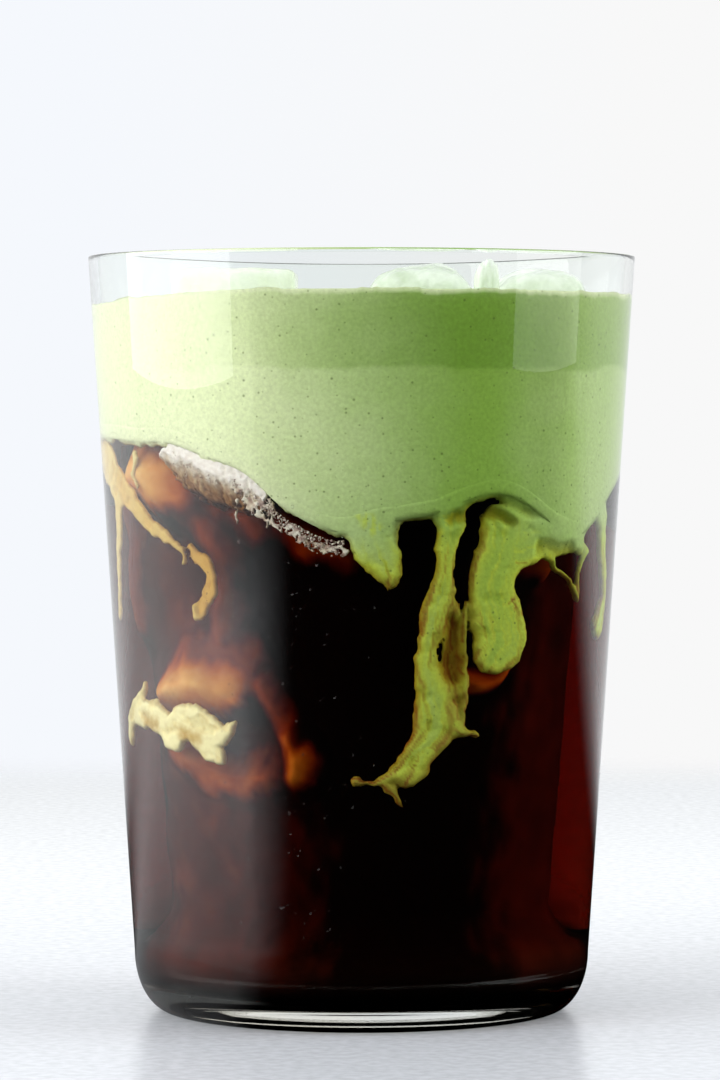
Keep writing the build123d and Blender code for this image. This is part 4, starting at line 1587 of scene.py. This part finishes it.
@dataclass(frozen=True)
class Condensation:
    """Fine beads of water on the cold outside of the glass, thickest on one side of the front."""

    tumbler: Tumbler
    count: int = 150

    def build(self) -> bpy.types.Object:
        """Scatter the beads as flattened balls that sit a little way into the glass.

        Returns:
            The object.
        """
        rng = np.random.default_rng(91)
        bearing = np.radians(-26.0 + 17.0 * rng.standard_normal(self.count))
        z = rng.uniform(14.0, 84.0, self.count)
        size = 0.08 + 0.3 * rng.beta(1.1, 6.0, self.count)
        wall = self.tumbler.outside(z)
        ball, triangles = small_ball()
        side = np.stack([np.cos(bearing), np.sin(bearing), 0.0 * z], -1)
        out = np.stack([np.sin(bearing), -np.cos(bearing), 0.0 * z], -1)
        up = np.array([0.0, 0.0, 1.0])
        long = 1.0 + 0.5 * rng.random(self.count)
        centre = (wall - 0.1 * size)[:, None] * out + z[:, None] * up
        flattened = (ball[None, :, :1] * side[:, None] + 0.3 * ball[None, :, 1:2] * -out[:, None]
                     + long[:, None, None] * ball[None, :, 2:] * up)
        points = centre[:, None] + size[:, None, None] * flattened
        faces = (np.arange(self.count)[:, None, None] * len(ball) + triangles[None]).reshape(-1, 3)
        beads = mesh_object("condensation_beads", points.reshape(-1, 3), [faces])
        dress(beads, WaterDrop().material(), Slot.GLASS)
        return beads


# ---------------------------------------------------------------- the ice


@dataclass(frozen=True)
class IceBlock:
    """A half-melted block of ice: a rounded box, worn hollow and wavy by melting."""

    name: str
    node: str
    squareness: float
    melt: float
    seed: int

    def build(self, material: bpy.types.Material) -> bpy.types.Object:
        """Wrap the block in its node's box.

        A direction is divided by its length in the norm of the squareness, which pushes a ball out
        towards a box. The radius is then worn by smooth noise and scaled to the box.

        Args:
            material: Its finish.

        Returns:
            The object.
        """
        low, high = (np.array(corner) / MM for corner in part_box(self.node))
        rows, columns = 128, 84
        turn = np.linspace(0.0, TAU, rows, endpoint=False)[:, None]
        dip = np.linspace(0.0, math.pi, columns + 2)[None, 1:-1]
        way = np.stack([np.sin(dip) * np.sin(turn), -np.sin(dip) * np.cos(turn), np.cos(dip) + 0.0 * turn])
        size = (np.abs(way) ** self.squareness).sum(0) ** (1.0 / self.squareness)
        wear = (1.0 - self.melt * (0.5 + 0.5 * waves(tuple(way), 1.6, self.seed, 2))
                + 0.012 * waves(tuple(way), 0.35, self.seed + 1, 2))
        shape = way / size * np.minimum(wear, 1.0)
        centre, half = (low + high) / 2, (high - low) / 2
        reach = np.abs(shape).reshape(3, -1).max(1)
        points = centre[:, None, None] + half[:, None, None] * shape / reach[:, None, None]
        flat = points.reshape(3, -1).T
        poles = np.array([flat[0::columns].mean(0), flat[columns - 1::columns].mean(0)])
        block = mesh_object(self.name, np.vstack([flat, poles]), polar_faces(rows, columns))
        dress(block, material, Slot.ICE, self.node)
        return block


# ---------------------------------------------------------------- the studio


@dataclass(frozen=True)
class Softbox:
    """A tall square-on soft light that stands beside the glass."""

    name: str
    bearing: float
    distance: float
    width: float
    low: float
    high: float
    radiance: float
    mirrored: bool = True
    roll: float = 2.7

    def place(self) -> None:
        """Make the lamp, facing the glass's axis, unseen by the camera itself."""
        lamp = bpy.data.lights.new(self.name, "AREA")
        lamp.shape = "RECTANGLE"
        lamp.size, lamp.size_y = self.width * MM, (self.high - self.low) * MM
        lamp.energy = self.radiance * math.pi * lamp.size * lamp.size_y
        thing = bpy.data.objects.new(self.name, lamp)
        bpy.context.scene.collection.objects.link(thing)
        b = math.radians(self.bearing)
        thing.location = (self.distance * MM * math.sin(b), -self.distance * MM * math.cos(b),
                          (self.low + self.high) / 2 * MM)
        thing.rotation_euler = (math.pi / 2, math.radians(math.copysign(self.roll, -self.bearing)), b)
        thing.visible_camera = False
        thing.visible_transmission = False
        thing.visible_glossy = self.mirrored


@dataclass(frozen=True)
class Studio:
    """A pale table and backdrop, two soft side lights and the camera."""

    eye: tuple[float, float, float] = (0.0, -750.0, 94.0)
    target: tuple[float, float, float] = (-0.24, 0.0, 74.9)
    lens: float = 156.73
    table_half: float = 2200.0
    cool: str = "#F5F8FD"
    warm: str = "#F8F8F8"
    fill: str = "#F6F8FA"
    lamps: tuple[Softbox, ...] = (
        Softbox("left_softbox", -82.0, 450.0, 500.0, 62.0, 620.0, 2.5),
        Softbox("left_bounce", -52.0, 480.0, 300.0, 65.0, 620.0, 4.2, False),
        Softbox("right_softbox", 82.0, 520.0, 340.0, 60.0, 620.0, 1.3),
        Softbox("right_bounce", 88.0, 520.0, 360.0, 65.0, 620.0, 3.9, False),
    )

    def camera(self) -> None:
        """Stand the camera at its place and aim it."""
        data = bpy.data.cameras.new("camera")
        data.lens, data.sensor_width, data.clip_start = self.lens, 36.0, 0.01
        thing = bpy.data.objects.new("camera", data)
        bpy.context.scene.collection.objects.link(thing)
        way = np.array(self.target) - np.array(self.eye)
        thing.location = [v * MM for v in self.eye]
        level = math.hypot(way[0], way[1])
        thing.rotation_euler = (math.pi / 2 + math.atan2(way[2], level), 0.0, math.atan2(-way[0], way[1]))
        bpy.context.scene.camera = thing

    def table(self) -> None:
        """Lay the table top, which ends softly behind the glass."""
        size = self.table_half
        points = np.array([(-size, -size, 0), (size, -size, 0), (size, size, 0), (-size, size, 0)], float)
        top = mesh_object("table_top", points, [np.array([[0, 1, 2, 3]])])
        top.data.materials.append(PaleLaminate().material())

    def room(self) -> None:
        """Set a white backdrop for the eye and the glass; as light it is bright behind, dark in front."""
        world = bpy.data.worlds.new("studio_room")
        world.use_nodes = True
        bpy.context.scene.world = world
        tree = world.node_tree
        tree.nodes.clear()
        generated = add_node(tree, "ShaderNodeTexCoord").outputs["Generated"]
        way = add_node(tree, "ShaderNodeSeparateXYZ", {0: generated})
        path = add_node(tree, "ShaderNodeLightPath")
        back = add_node(tree, "ShaderNodeMapRange", {
            "Value": way.outputs["Y"], "From Min": 0.10, "From Max": 0.55, "To Min": 0.03, "To Max": 0.95},
            interpolation_type="SMOOTHSTEP")
        over = add_node(tree, "ShaderNodeMapRange", {
            "Value": way.outputs["Z"], "From Min": 0.35, "From Max": 0.9}, interpolation_type="SMOOTHSTEP")
        room = add_node(tree, "ShaderNodeMath", {0: back, 1: over}, operation="MAXIMUM")
        above = add_node(tree, "ShaderNodeMapRange", {
            "Value": way.outputs["Z"], "From Min": 0.0, "From Max": 0.12, "To Max": 0.9})
        shine = add_node(tree, "ShaderNodeMath", {0: above, 1: path.outputs["Is Glossy Ray"]},
                         operation="MULTIPLY")
        light = add_node(tree, "ShaderNodeMath", {0: room, 1: shine}, operation="MAXIMUM")
        plain = add_node(tree, "ShaderNodeMath", {
            0: path.outputs["Is Camera Ray"], 1: path.outputs["Is Transmission Ray"]}, operation="MAXIMUM")
        side = add_node(tree, "ShaderNodeMapRange", {
            "Value": way.outputs["X"], "From Min": -0.06, "From Max": 0.06})
        white = add_node(tree, "ShaderNodeMix", {0: side, 6: linear(self.cool), 7: linear(self.warm)},
                         data_type="RGBA")
        lit = add_node(tree, "ShaderNodeBackground", {"Color": linear(self.fill), "Strength": light})
        seen = add_node(tree, "ShaderNodeBackground", {"Color": white.outputs[2], "Strength": 1.0})
        both = add_node(tree, "ShaderNodeMixShader", {0: plain, 1: lit, 2: seen})
        add_node(tree, "ShaderNodeOutputWorld", {"Surface": both})

    def build(self) -> None:
        """Set up the camera, the table, the room and the lamps."""
        self.camera()
        self.table()
        self.room()
        for lamp in self.lamps:
            lamp.place()
        bpy.context.scene.view_settings.view_transform = "Standard"


def main() -> None:
    """Build the drink piece by piece, then the studio."""
    logging.basicConfig(level=logging.INFO, format="%(message)s")
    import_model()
    tumbler = Tumbler()
    tumbler.build()
    Coffee(tumbler).build()
    cream = MatchaCream(tumbler)
    cream.build()
    SunkenMilk(tumbler).build()
    Froth(cream).build()
    ice = WetIce().material()
    for block in (IceBlock("ice_block_left", "ice_left", 14.0, 0.04, 61),
                  IceBlock("ice_block_middle", "ice_middle", 2.6, 0.12, 62),
                  IceBlock("ice_block_right", "ice_right", 3.0, 0.14, 63),
                  IceBlock("ice_shard", "ice_shard", 2.6, 0.20, 64)):
        block.build(ice)
    Condensation(tumbler).build()
    Studio().build()


if __name__ == "__main__":
    main()
